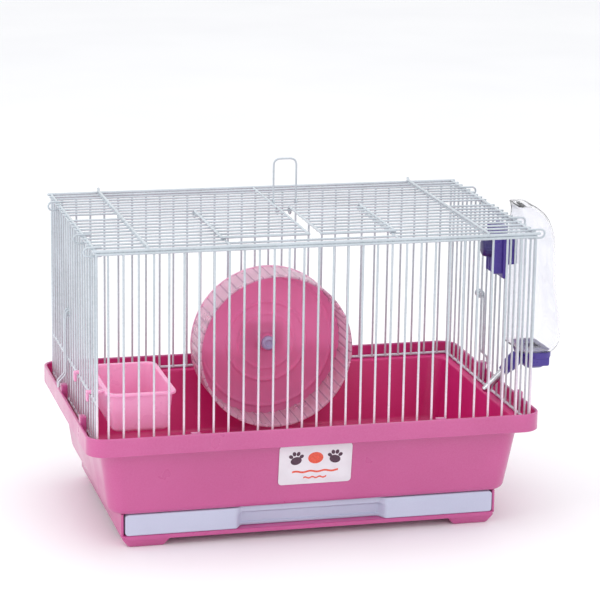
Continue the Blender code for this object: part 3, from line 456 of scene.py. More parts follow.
LATCH_GAP = 11
LATCH_Z = RAIL_Z + 75 * MM
HINGE_Y = 14 * MM
STRAP_X = HALF_L - 40 * MM
SPINE_X = -2.2 * MM
LEFT_DOOR, RIGHT_DOOR = [(span(node, 0)[0] - CAGE_X + WIRE_R, span(node, 0)[1] - CAGE_X - WIRE_R)
                         for node in ("left_door", "right_door")]
DOOR_FRONT_Y = span("left_door", 1)[0] + RAIL_R
OPEN_LEFT = LEFT_DOOR[0] + 2.5 * MM
OPEN_RIGHT = RIGHT_DOOR[1] - 2.5 * MM
DOOR_Z = ROOF_Z + 2.3 * MM


def rows(start, end):
    """Y of the plain roof wires strictly between two rails."""
    count = round((end - start) / (11.2 * MM))
    return [start + (end - start) * k / count for k in range(1, count)]


FRONT_ROWS = rows(-HALF_D, HINGE_Y)
BACK_ROWS = rows(HINGE_Y, HALF_D)


def roof():
    """Long wires over the whole roof, cross wires on them, and the straps whose ends curl up."""
    reach = ROOF_REACH
    long_bm = bmesh.new()
    for y in (-HALF_D, HALF_D):
        rail(long_bm, (-reach, y, ROOF_Z), (reach, y, ROOF_Z))
    line(long_bm, (-STRAP_X - 1.5 * MM, HINGE_Y, ROOF_Z), (STRAP_X + 1.5 * MM, HINGE_Y, ROOF_Z), WIRE_R)
    runs = [(y, -reach, reach) for y in BACK_ROWS]
    for y in FRONT_ROWS:
        if y < DOOR_FRONT_Y:
            runs.append((y, -reach, reach))
        else:
            runs += [(y, -reach, OPEN_LEFT + 0.6 * MM), (y, OPEN_RIGHT - 0.6 * MM, reach)]
    for y, left, right in runs:
        line(long_bm, (left, y, ROOF_Z), (right, y, ROOF_Z), WIRE_R)
    cross = [(x, -HALF_D, HALF_D) for x in (-HALF_L, -STRAP_X, STRAP_X, HALF_L)]
    cross += [(x, -HALF_D, HINGE_Y) for x in (OPEN_LEFT, OPEN_RIGHT)]
    cross.append((SPINE_X, HINGE_Y, HALF_D))
    for x, front, back in cross:
        line(long_bm, (x, front, ROOF_Z), (x, back, ROOF_Z), WIRE_R)
        for y, left, right in runs + [(HINGE_Y, -STRAP_X, STRAP_X), (-HALF_D, -reach, reach),
                                      (HALF_D, -reach, reach)]:
            if front - MM < y < back + MM and left - MM < x < right + MM:
                weld(long_bm, world(x, y, ROOF_Z), 1.3 * MM, (1.1, 1.1, 0.85))
    piece("roof_wires", long_bm, ENAMEL, "wire_top", "top_panel")
    strap_bm = bmesh.new()
    for side in (-1, 1):
        x = side * STRAP_X
        z = ROOF_Z + 1.9 * MM
        curl = world(x, HALF_D + 0.6 * MM, z + 2.2 * MM)
        path = bent([world(x, -HALF_D, z), world(x, HALF_D - 2 * MM, z), curl], 3 * MM)
        tube(strap_bm, path, 1.1 * MM)
        for y in FRONT_ROWS + BACK_ROWS + [-HALF_D, HALF_D]:
            weld(strap_bm, world(x, y, ROOF_Z + MM), 1.2 * MM)
    piece("roof_straps", strap_bm, ENAMEL, "wire_top")


def door(name, node, sides):
    """A roof door: a frame on top of short wires, with the side wires curled round the hinge rail."""
    left, right = sides
    bm = bmesh.new()
    eye = 2.9 * MM
    hinge = (HINGE_Y, ROOF_Z)
    for x in sides:
        loop = [world(x, y, z) for _, y, z in arc(hinge, eye, 90, -180, 14)]
        start = [world(x, DOOR_FRONT_Y - RAIL_R, DOOR_Z), world(x, HINGE_Y - 6 * MM, DOOR_Z)]
        tube(bm, start + [world(x, HINGE_Y - 2 * MM, DOOR_Z + 0.5 * MM)] + loop, 1.0 * MM)
    rail(bm, (left - WIRE_R, DOOR_FRONT_Y, DOOR_Z), (right + WIRE_R, DOOR_FRONT_Y, DOOR_Z))
    for y in FRONT_ROWS:
        if DOOR_FRONT_Y + 2 * MM < y < HINGE_Y - 6 * MM:
            line(bm, (left - WIRE_R, y, DOOR_Z), (right + WIRE_R, y, DOOR_Z), WIRE_R)
            for x in sides:
                weld(bm, world(x, y, DOOR_Z), 1.25 * MM)
    for x in sides:
        weld(bm, world(x, DOOR_FRONT_Y, DOOR_Z), 1.4 * MM)
    piece(name, bm, ENAMEL, node, node)


def ring(bm, centre, radius, wire, plane):
    points = [Vector(centre) + Vector(p) for p in arc((0, 0), radius, 0, 345, 23, plane)]
    tube(bm, points, wire, 10, closed=True)


def carry_loop():
    low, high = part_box("carry_loop")
    left, right = low.x + LOOP_R, high.x - LOOP_R
    y, top = (low.y + high.y) / 2, high.z - LOOP_R
    bm = bmesh.new()
    eye = 2.7 * MM
    tube(bm, bent([(left, y, ROOF_Z + eye), (left, y, top), (right, y, top), (right, y, ROOF_Z + eye)],
                  6 * MM, 8), LOOP_R)
    for x in (left, right):
        ring(bm, (x, y, ROOF_Z), eye, LOOP_R, "YZ")
    piece("carry_loop_wire", bm, ENAMEL, "carry_loop", "carry_loop")


def latch(name, node, side):
    """Spring wire loop on a side panel; its round end presses outside the tray's rim lug."""
    low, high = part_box(node)
    y_mid, half = (low.y + high.y) / 2, 3.1 * MM
    outer = (low.x if side < 0 else high.x) - side * LOOP_R
    pivot_x = CAGE_X + side * HALF_L
    end_z = low.z + LOOP_R
    leg_x = pivot_x + side * 3.2 * MM
    lug_z = TRAY_HIGH.z
    bm = bmesh.new()
    down = bent([(x, y_mid - half, z) for x, z in
                 ((pivot_x + side * 2.6 * MM, LATCH_Z), (leg_x, LATCH_Z - 6 * MM), (leg_x, lug_z + 9 * MM),
                  (outer, lug_z + 2.5 * MM), (outer, end_z + half))], 2 * MM, 3)
    round_end = [(outer, y_mid + half * math.sin(a), end_z + half - half * math.cos(a))
                 for a in (math.radians(-90 + 15 * k) for k in range(1, 12))]
    up = [(x, 2 * y_mid - y, z) for x, y, z in reversed(down)]
    tube(bm, down + round_end + up, LOOP_R)
    for y in (y_mid - half, y_mid + half):
        ring(bm, (pivot_x, y, LATCH_Z), 2.7 * MM, LOOP_R, "XZ")
    piece(name, bm, ENAMEL, node, node)


def joining_hook(name, node, side):
    low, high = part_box(node)
    y = (low.y + high.y) / 2
    top, bottom = high.z - LOOP_R, low.z + LOOP_R
    half = (top - bottom) / 2
    inner, outer = (high.x, low.x) if side < 0 else (low.x, high.x)
    out = outer - side * (half + LOOP_R)
    turn = [(out + side * half * math.sin(a), y, bottom + half + half * math.cos(a))
            for a in (math.radians(15 * k) for k in range(13))]
    bm = bmesh.new()
    tube(bm, [(inner, y, top)] + turn + [(inner, y, bottom)], LOOP_R, 12)
    piece(name, bm, ENAMEL, "wire_top", node)


# ---------------- tray
LEDGE_Z = FRONT_LOW.z - 0.3 * MM     # the wire cage stands on this ledge, below the rim's top
RIM_TOP = LEDGE_Z + 10.3 * MM
RIM_BOTTOM = RIM_TOP - 15 * MM
BODY_INSET = 13 * MM
BODY_DRAFT = 7.5 * MM
WALL = 2.2 * MM


def rim_ring(inset, z, corner):
    return [world(x, y, z) for x, y in outline(RIM_X - inset, RIM_Y - inset, max(corner, 0.5 * MM))]


def tray():
    """The rim, its ledge and the tapered body, with radii at every turn; the inside carries a deeper pink,
    which is painted shade.
    """
    low = TRAY_LOW.z
    body, foot = BODY_INSET, BODY_INSET + BODY_DRAFT
    corner = 15 * MM
    profile = [(foot + 60 * MM, low, 2 * MM), (foot + 3 * MM, low, corner - 3 * MM),
               (foot, low + 3 * MM, corner), (body, RIM_BOTTOM, corner), (0.6 * MM, RIM_BOTTOM, corner),
               (0, RIM_BOTTOM + 0.5 * MM, corner), (0, RIM_TOP, corner), (WALL, RIM_TOP, corner - WALL),
               (WALL + 0.3 * MM, LEDGE_Z, corner - WALL), (body + WALL, LEDGE_Z, corner - WALL),
               (foot + WALL, low + 3 * MM + WALL, corner - WALL),
               (foot + 7 * MM, low + WALL, corner - 7 * MM), (foot + 60 * MM, low + WALL, 2 * MM)]
    radii = [r * MM for r in (2, 2.5, 2, 0.8, 0.8, 1.1, 1.1, 1.2, 1.6, 3, 4)]
    path = softened(profile, radii, 5)
    # from this level inwards the faces take the inside material, whose deeper pink is painted shade
    inside_from = next(i for i, (inset, z, _) in enumerate(path) if z > RIM_TOP - 0.2 * MM) + 8
    bm = bmesh.new()
    skin(bm, [rim_ring(*p) for p in path], index=lambda level, _: int(level >= inside_from))
    piece("tray_shell", bm, PINK_OUT, "base", "tray", extra=PINK_IN_PAINTED_SHADE)


def tray_lugs():
    """Upright lugs inside the rim that the latches catch on, and low nibs along the front."""
    sink = MM
    inner_x, inner_y = RIM_X - WALL, RIM_Y - WALL
    thick = inner_x - HALF_L - WIRE_R - 1.1 * MM
    top = TRAY_HIGH.z
    bm = bmesh.new()
    for side in (-1, 1):
        for y in (side_gap(3), side_gap(LATCH_GAP)):
            rounded_block(bm, world(side * (inner_x - thick), y - 4 * MM, LEDGE_Z - sink),
                          world(side * (inner_x + sink), y + 4 * MM, top), 0.9 * MM, 4)
        x = side * 51 * MM
        rounded_block(bm, world(x - 4 * MM, inner_y - thick, LEDGE_Z - sink),
                      world(x + 4 * MM, inner_y + sink, top), 0.9 * MM, 4)
        x = side * 100 * MM
        rounded_block(bm, world(x - 4 * MM, -inner_y - sink, LEDGE_Z - sink),
                      world(x + 4 * MM, -inner_y + thick, RIM_TOP + 0.5 * MM), 0.8 * MM, 4)
    piece("tray_lugs", bm, PINK_OUT, "base")


# ---------------- label with a made-up paw badge
def label():
    """Rounded sticker on the sloping front wall, with a paw and two plain stripes instead of lettering."""
    low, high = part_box("label")
    slope = math.atan2(BODY_DRAFT, RIM_BOTTOM - TRAY_LOW.z)
    centre = (low + high) / 2
    place = Matrix.Translation(centre) @ Matrix.Rotation(math.pi / 2 + slope, 4, "X")
    half_x, half_y = (high.x - low.x) / 2, 17 * MM

    def plate(points, lift, thick):
        bm = bmesh.new()
        top = lift + thick
        levels = ((0.12 * MM, lift), (0, lift + 0.05 * MM), (0, top - 0.04 * MM), (0.1 * MM, top))
        middle_u = sum(u for u, _ in points) / len(points)
        middle_v = sum(v for _, v in points) / len(points)
        reach = max(math.hypot(u - middle_u, v - middle_v) for u, v in points)
        skin(bm, [[place @ Vector((middle_u + (u - middle_u) * (1 - inset / reach),
                                   middle_v + (v - middle_v) * (1 - inset / reach), h))
                   for u, v in points] for inset, h in levels])
        return bm

    def oval(u, v, a, b, turn=0.0, count=40):
        return [(u + a * math.cos(t) * math.cos(turn) - b * math.sin(t) * math.sin(turn),
                 v + a * math.cos(t) * math.sin(turn) + b * math.sin(t) * math.cos(turn))
                for t in turns(count)]

    sheet = plate(outline(half_x, half_y, 3 * MM, 8), -0.2 * MM, 0.36 * MM)
    piece("label_sheet", sheet, PAPER, "base", "label")
    up = 0.14 * MM
    thin = 0.12 * MM
    ball = 5 * MM
    piece("label_ball", plate(oval(0, 5.5 * MM, ball * 1.25, ball), up, thin), INK_RED, "base")
    for k, (u, turn) in enumerate(((-16 * MM, 0.25), (16 * MM, -0.25))):
        pad = [oval(u, 3.6 * MM, 4.6 * MM, 3.4 * MM, turn)]
        pad += [oval(u + 5.4 * MM * math.sin(a), 3.6 * MM + 6.4 * MM * math.cos(a), 1.5 * MM, 1.9 * MM, -a)
                for a in (math.radians(d) for d in (-54, -18, 18, 54))]
        for n, points in enumerate(pad):
            piece(f"label_paw_{k}_{n}", plate(points, up, thin), INK_DARK, "base")
    for k, (v, half, tall) in enumerate(((-6.2 * MM, 19 * MM, 0.8 * MM), (-11.5 * MM, 9.5 * MM, 0.65 * MM))):
        wave = [(half * (t / 30 - 1), v + tall + 0.5 * MM * math.sin(t / 3)) for t in range(61)]
        wave += [(u, w - 2 * tall) for u, w in reversed(wave)]
        piece(f"label_stripe_{k}", plate(wave, up, thin), INK_RED, "base")


# ---------------- drawer and its housing
def housing():
    """Open box under the tray that the drawer runs in, on four slanted feet."""
    low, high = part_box("drawer_housing")
    foot_top = 6.5 * MM
    floor_top = foot_top + 3 * MM
    bm = bmesh.new()
    half_x, half_y = (high.x - low.x) / 2, (high.y - low.y) / 2
    floor_levels = ((2 * MM, 0, foot_top), (0.6 * MM, 0, foot_top + 1.4 * MM), (0, 0, floor_top),
                    (0.5 * MM, 0.5 * MM, floor_top + 0.4 * MM))
    skin(bm, [[world(x, y, z) for x, y in outline(half_x - off_x, half_y - off_y, 4 * MM, 6)]
              for off_x, off_y, z in floor_levels])
    top = high.z
    for side in (-1, 1):
        rounded_block(bm, world(side * half_x, -half_y + 2 * MM, floor_top - MM),
                      world(side * (half_x - WALL), half_y - 2 * MM, top), 0.7 * MM)
    rounded_block(bm, world(-half_x + 2 * MM, half_y - WALL, floor_top - MM),
                  world(half_x - 2 * MM, half_y, top), 0.7 * MM)
    foot_x, foot_y = 19.5 * MM, 13 * MM
    foot_levels = ((4.8 * MM, 0, 0.5 * MM), (4.5 * MM, 0.5 * MM, 0), (0.3 * MM, foot_top - 0.3 * MM, 0),
                   (0, foot_top + MM, 0))
    for x in (foot_x + MM - half_x, half_x - MM - foot_x):
        for y in (foot_y + 0.5 * MM - half_y, half_y - 0.5 * MM - foot_y):
            skin(bm, [[world(x + u, y + v, z) for u, v in
                       outline(foot_x - slant - trim, foot_y - slant / 2 - trim, 2 * MM, 5)]
                      for slant, z, trim in foot_levels])
    piece("drawer_rails", bm, PINK_OUT, "base", "drawer_housing")


GRIP_HALF, GRIP_CHAMFER = 56 * MM, 7 * MM
GRIP_SETBACK, GRIP_DEPTH = 4.5 * MM, 9.5 * MM


def drawer():
    """White drawer: a front with soft edges and a finger grip let into it, and a plain box behind."""
    low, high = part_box("drawer")
    half_x, front = (high.x - low.x) / 2, low.y
    bottom, top = low.z, high.z
    tall = top - bottom
    corner, edge = 4 * MM, 1.1 * MM

    def ease(value, start, end):
        t = min(1, max(0, (value - start) / (end - start)))
        return t * t * (3 - 2 * t)

    def depth(x, z):
        """How far the front's face lies behind its foremost plane."""
        share = (top - z) / tall
        slope = GRIP_SETBACK + (GRIP_DEPTH - GRIP_SETBACK) * ease(share, 0.30, 0.36) * (0.55 + 0.45 * share)
        slope -= 1.6 * MM * ease(share, 0.83, 0.86)
        side = ease(abs(x), GRIP_HALF + GRIP_CHAMFER, GRIP_HALF)
        rim = min(z - bottom, top - z, half_x - abs(x))
        rounding = edge - math.sqrt(max(0, edge ** 2 - max(0, edge - rim) ** 2))
        return slope * side + rounding

    def shoulder(x):
        """Height taken off the lower and upper corners at the drawer's ends."""
        past = max(0, abs(x) - (half_x - corner))
        return corner - math.sqrt(max(0, corner ** 2 - past ** 2))

    columns = [half_x * (k / 110 - 1) for k in range(221)]
    near = [half_x - corner * (1 - math.cos(math.radians(a))) for a in range(0, 91, 10)]
    xs = sorted({round(v, 6) for v in columns + near + [-n for n in near] if abs(v) <= half_x - 0.3 * MM})
    rows_up = 26
    back_y = front + 12.5 * MM
    loops = []
    for x in xs:
        cut_off = min(shoulder(x), tall / 2 - MM)
        zs = [bottom + cut_off + (tall - 2 * cut_off) * (0.5 - 0.5 * math.cos(math.pi * r / rows_up))
              for r in range(rows_up + 1)]
        loops.append([world(x, front + depth(x, z), z) for z in zs] + [world(x, back_y, z) for z in zs[::-1]])
    bm = bmesh.new()
    skin(bm, loops)
    piece("drawer_front", bm, DRAWER_WHITE, "drawer", "drawer")
    box_bm = bmesh.new()
    wall = 2 * MM
    y0, y1 = back_y - 0.4 * MM, high.y
    rounded_block(box_bm, world(-half_x + 1.5 * MM, y0, bottom),
                  world(half_x - 1.5 * MM, y1, bottom + wall), 0.6 * MM)
    for side in (-1, 1):
        rounded_block(box_bm, world(side * half_x, y0, bottom + MM),
                      world(side * (half_x - wall), y1, top), 0.7 * MM)
    rounded_block(box_bm, world(-half_x + MM, y1 - wall, bottom + MM), world(half_x - MM, y1, top), 0.7 * MM)
    piece("drawer_box", box_bm, DRAWER_WHITE, "drawer")


# ---------------- food bowl
def bowl():
    """Deep trough with a rolled lip, hung on the left panel by two hooks."""
    low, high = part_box("food_bowl")
    top, bottom = high.z, low.z
    right = high.x
    half_x, half_y = 28 * MM, (high.y - low.y) / 2
    centre = Vector((right - half_x, (low.y + high.y) / 2, 0))
    lip, wall, taper = 2.6 * MM, 1.8 * MM, 2.5 * MM
    profile = [(20 * MM, bottom, 3 * MM), (lip + taper + 2 * MM, bottom, 5 * MM),
               (lip + taper, bottom + 2 * MM, 6 * MM), (lip, top - lip, 7 * MM),
               (0.5 * MM, top - lip, 8 * MM), (0, top - lip + 0.4 * MM, 8 * MM), (0, top, 8 * MM),
               (lip + wall - 0.8 * MM, top, 6 * MM),
               (lip + taper + wall, bottom + 4 * MM, 5 * MM),
               (lip + taper + 5 * MM, bottom + wall, 4 * MM), (20 * MM, bottom + wall, 3 * MM)]
    radii = [r * MM for r in (1.2, 1.5, 1, 0.5, 0.6, 1.2, 1, 4, 3)]
    bm = bmesh.new()
    skin(bm, [[centre + Vector((x, y, z)) for x, y in outline(half_x - inset, half_y - inset, corner, 8)]
              for inset, z, corner in softened(profile, radii)])
    piece("bowl_shell", bm, BOWL_PINK, "food_bowl", "food_bowl")
    hooks = bmesh.new()
    panel = CAGE_X - HALF_L
    over = panel - WIRE_R - 0.8 * MM
    for index in (2, 7):
        y = side_gap(index)
        far, near, out = y - 2.5 * MM, y + 2.5 * MM, over - 2.2 * MM
        root = right - 2 * half_x + 2 * MM
        rounded_block(hooks, (out, far, top - lip), (root, near, top - 0.3 * MM), 0.7 * MM)
        rounded_block(hooks, (out, far, top - lip - 6 * MM), (over, near, top - lip + 0.6 * MM), 0.7 * MM)
    piece("bowl_hooks", hooks, BOWL_PINK, "food_bowl")


# ---------------- running wheel
def wheel():
    """Ribbed translucent track, embossed disc behind it, hub and its mount on the back wires."""
    low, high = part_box("wheel_track")
    disc_low, disc_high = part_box("wheel_disc")
    centre = Vector(((low.x + high.x) / 2, 0, (low.z + high.z) / 2))
    radius = (high.x - low.x) / 2
    front, back = low.y, high.y
    rungs, steps = 52, 6
    wall, rise, low_rise, lip = 1.5 * MM, 0.9 * MM, 0.45 * MM, 0.4 * MM
    levels = ((front, 0.4 * MM, 0), (front + 0.3 * MM, 0, 0), (front + 2.4 * MM, 0, 0),
              (front + 3.4 * MM, 0.5 * MM, low_rise), (back, 0.5 * MM, low_rise),
              (back, wall + 0.3 * MM, rise), (front + 3.4 * MM, wall + 0.3 * MM, rise),
              (front + 2.4 * MM, wall + lip, 0), (front + 0.3 * MM, wall + lip, 0),
              (front, wall + lip - 0.4 * MM, 0))

    def ribbed(y, inset, rib):
        """A circle with a crest inwards at the middle of each rung's step."""
        loop = []
        for k, a in enumerate(turns(rungs * steps)):
            crest = math.exp(-(((k % steps) / steps - 0.5) / 0.16) ** 2)
            r = radius - inset - rib * crest
            loop.append((centre.x + r * math.cos(a), y, centre.z + r * math.sin(a)))
        return loop

    bm = bmesh.new()
    # the faces on each rib's crest take the darker rib material, painted shade along the rungs
    skin(bm, [ribbed(*level) for level in levels], wrap=True, caps=False,
         index=lambda _, i: int(i % steps == steps // 2))
    piece("wheel_track_shell", bm, TRACK_PINK, "wheel", "wheel_track", extra=RIB_PAINTED_SHADE)

    plate = disc_high.y - 2.2 * MM
    hub_front = disc_low.y
    profile = [(2.3 * MM, disc_high.y), (2.3 * MM, hub_front + 0.3 * MM), (2.6 * MM, hub_front),
               (6.9 * MM, hub_front), (7.5 * MM, hub_front + 0.6 * MM), (7.9 * MM, plate - 1.2 * MM),
               (9.5 * MM, plate)]
    for groove in (0.0245, 0.035, 0.058):
        deep = 1.2 * MM if groove > 0.03 else 0.7 * MM
        profile += [(groove + 2.4 * MM * s, plate - deep * 0.5 * (1 + math.cos(math.pi * s)))
                    for s in (t / 5 - 1 for t in range(11))]
    profile += [(radius - 0.5 * MM, plate), (radius, plate + 0.5 * MM), (radius, disc_high.y - 0.5 * MM),
                (radius - 0.5 * MM, disc_high.y)]
    bm = bmesh.new()
    revolved(bm, profile, (centre.x, 0, centre.z), 128)
    for face in bm.faces:
        spot = face.calc_center_median() - centre
        face.material_index = int(math.hypot(spot.x, spot.z) > radius - MM)
    piece("wheel_disc_shell", bm, DISC_PINK, "wheel", "wheel_disc", extra=TRACK_PINK)

    cap_low, cap_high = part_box("hub_cap")
    cap_r, cap_front = (cap_high.x - cap_low.x) / 2, cap_low.y
    turned("hub_cap_button", "hub_cap", HUB_GREY, "wheel",
           [(ON_AXIS, cap_high.y), (cap_r, cap_high.y), (cap_r, cap_high.y - 0.9 * MM),
            (cap_r * 0.93, cap_front + 0.8 * MM), (cap_r * 0.80, cap_front + 0.1 * MM),
            (cap_r * 0.60, cap_front), (cap_r * 0.50, cap_front + 0.1 * MM),
            (cap_r * 0.40, cap_front + 1.1 * MM),
            (ON_AXIS, cap_front + 1.2 * MM)], 48, 3 * ON_AXIS)


ON_AXIS = 0.1 * MM                   # a point this near the axis is drawn together onto it


def turned(name, node, look, body, profile, sides=40, merge=2 * ON_AXIS):
    """A round piece about the axis along Y through a node's middle; profile is (radius, y)."""
    at = middle(node)
    bm = bmesh.new()
    revolved(bm, profile, (at.x, 0, at.z), sides, closed=False)
    bmesh.ops.remove_doubles(bm, verts=bm.verts, dist=merge)
    piece(name, bm, look, body, node)


def upright_plate(bm, low, high, corner, levels):
    """A plate that faces along Y, with round corners; levels are (y, inset) from front to back."""
    mid, half = (low + high) / 2, (high - low) / 2
    skin(bm, [[(mid.x + u, y, mid.z + v) for u, v in outline(half.x - inset, half.z - inset, corner, 8)]
              for y, inset in levels])


def wheel_mount():
    """Axle pin, bracket, plate behind the wires and two screws."""
    low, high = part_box("wheel_axle")
    r = (high.x - low.x) / 2
    turned("axle_pin", "wheel_axle", STEEL, "wire_top",
           [(ON_AXIS, low.y), (r * 0.8, low.y), (r, low.y + 0.4 * MM), (r, high.y), (ON_AXIS, high.y)])
    low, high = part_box("wheel_bracket")
    plate_front = high.y - 3.5 * MM
    bm = bmesh.new()
    upright_plate(bm, low, high, 5 * MM, ((plate_front, 0.8 * MM), (plate_front + 0.3 * MM, 0.2 * MM),
                                          (plate_front + 0.9 * MM, 0), (high.y, 0)))
    root = plate_front + 0.2 * MM
    boss = [(2.4 * MM, low.y), (5.2 * MM, low.y), (6 * MM, low.y + 0.6 * MM),
            (6 * MM, plate_front - 1.5 * MM), (7.4 * MM, root), (2.4 * MM, root)]
    revolved(bm, boss, ((low.x + high.x) / 2, 0, (low.z + high.z) / 2), 48)
    piece("bracket_body", bm, MAGENTA_DARK, "wire_top", "wheel_bracket")
    low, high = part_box("wheel_backplate")
    bm = bmesh.new()
    upright_plate(bm, low, high, 4 * MM, ((low.y, 0), (high.y - 0.7 * MM, 0), (high.y - 0.2 * MM, 0.3 * MM),
                                          (high.y, 0.9 * MM)))
    piece("backplate_body", bm, MAGENTA_DARK, "wire_top", "wheel_backplate")
    for side in ("left", "right"):
        node = "wheel_screw_" + side
        low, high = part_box(node)
        head = (high.x - low.x) / 2
        under = low.y + 1.8 * MM
        turned("screw_" + side, node, SCREW_STEEL, "wire_top",
               [(ON_AXIS, low.y + 0.5 * MM), (head * 0.35, low.y + 0.4 * MM), (head * 0.42, low.y),
                (head * 0.7, low.y + 0.1 * MM), (head * 0.98, under - 0.5 * MM), (head, under - 0.1 * MM),
                (head * 0.9, under), (1.6 * MM, under), (1.6 * MM, high.y - 0.3 * MM), (1.2 * MM, high.y),
                (ON_AXIS, high.y)])


# ---------------- bottle, cap, spout and clip
BOTTLE_Y = side_gap(6)
BOTTLE_IN = CAGE_X + HALF_L + 10.5 * MM
BOTTLE_LOW = RAIL_Z + 42.7 * MM
BOTTLE_TOP = span("bottle", 2)[1]
BOTTLE_THICK = span("bottle", 0)[1] - BOTTLE_IN
BOTTLE_X = BOTTLE_IN + BOTTLE_THICK / 2
NECK_R = 10 * MM
# millimetres, from the bottom up: percent of the height, thinner by, narrower by, corner radius, lean
# towards the cage
BOTTLE_FORM = ((0, 8.5, 5.5, 5, 0), (0.9, 6.2, 3.4, 6, 0), (2.5, 4.6, 2.0, 7, 0), (4, 3.0, 1.0, 8, 0),
               (7, 1.0, 0.3, 9, 0), (13, 0, 0, 9, 0), (20, 0.5, 0, 9, 0), (28, 1.9, 0.1, 9, 0),
               (36, 3.6, 0.6, 9, 0), (43, 4.9, 1.0, 9, 0), (58, 6.0, 1.9, 9, 0), (70, 6.4, 2.4, 9, 0),
               (78, 7.0, 2.8, 9, 0), (86, 9.5, 4.6, 8.5, 0), (91, 12.0, 6.4, 8, 0), (95, 14.9, 8.9, 7, 0.5),
               (98, 17.9, 11.6, 6, 2.0), (99.6, 19.8, 13.5, 5, 3.0), (100, 21.4, 15.0, 4.4, 3.3))


def bottle_rings(inset):
    """Sections from the bottom up: bulging foot, slim body, shoulder and a small top that leans in."""
    rise = BOTTLE_TOP - BOTTLE_LOW - 2 * inset
    rings = []
    for percent, thinner, narrower, corner, lean in BOTTLE_FORM:
        half_x = (BOTTLE_THICK - thinner * MM) / 2
        z = BOTTLE_LOW + inset + rise * percent / 100
        half_y = (30 - narrower) * MM
        around = outline(half_x - inset, half_y - inset, max(MM, corner * MM - inset / 2), 8)
        rings.append([(BOTTLE_IN - lean * MM + half_x + x, BOTTLE_Y + y, z) for x, y in around])
    return rings


def circles(angles, levels):
    """Loops round the bottle's upright axis, one for each level of (radius, z)."""
    return [[(BOTTLE_X + r * math.cos(a), BOTTLE_Y + r * math.sin(a), z) for a in angles] for r, z in levels]


def bottle():
    """Thin shell open at the beaded neck, drawn from its inner top down to the mouth and up the outside."""
    wall = 1.1 * MM
    outer, inner = bottle_rings(0), bottle_rings(wall)
    angles = [math.atan2(y - BOTTLE_Y, x - BOTTLE_X) for x, y, _ in outer[0]]
    low = BOTTLE_LOW - 10 * MM
    neck = circles(angles, ((NECK_R - 0.3 * MM, low), (NECK_R, low + 0.2 * MM), (NECK_R, low + 1.5 * MM),
                            (NECK_R - 0.5 * MM, low + 2 * MM), (NECK_R - 0.5 * MM, BOTTLE_LOW - 3.6 * MM),
                            (NECK_R, BOTTLE_LOW - 3 * MM), (NECK_R, BOTTLE_LOW - 0.6 * MM)))
    bore = circles(angles, [(NECK_R - wall, z) for z in (BOTTLE_LOW + wall, low + MM, low)])
    bm = bmesh.new()
    skin(bm, inner[::-1] + bore + neck + outer)
    piece("bottle_shell", bm, CLEAR, "bottle", "bottle")


SPOUT_TILT = math.radians(45)
SPOUT_CROSSING = RAIL_Z + 19 * MM    # height at which the spout's axis crosses the panel


def spout_point(distance):
    """Point on the spout's axis, counted outwards from the right panel's plane."""
    return Vector((CAGE_X + HALF_L + distance * math.cos(SPOUT_TILT), BOTTLE_Y,
                   SPOUT_CROSSING + distance * math.sin(SPOUT_TILT)))


def along(bm, profile, closed=True):
    """Turn an outline of (radius, distance) about the spout's axis."""
    side = Vector((0, 1, 0))
    up = (spout_point(1) - spout_point(0)).normalized().cross(side)
    loops = [[spout_point(d) + r * (side * math.cos(a) + up * math.sin(a)) for a in turns(32)]
             for r, d in profile]
    skin(bm, loops, wrap=closed, caps=not closed)


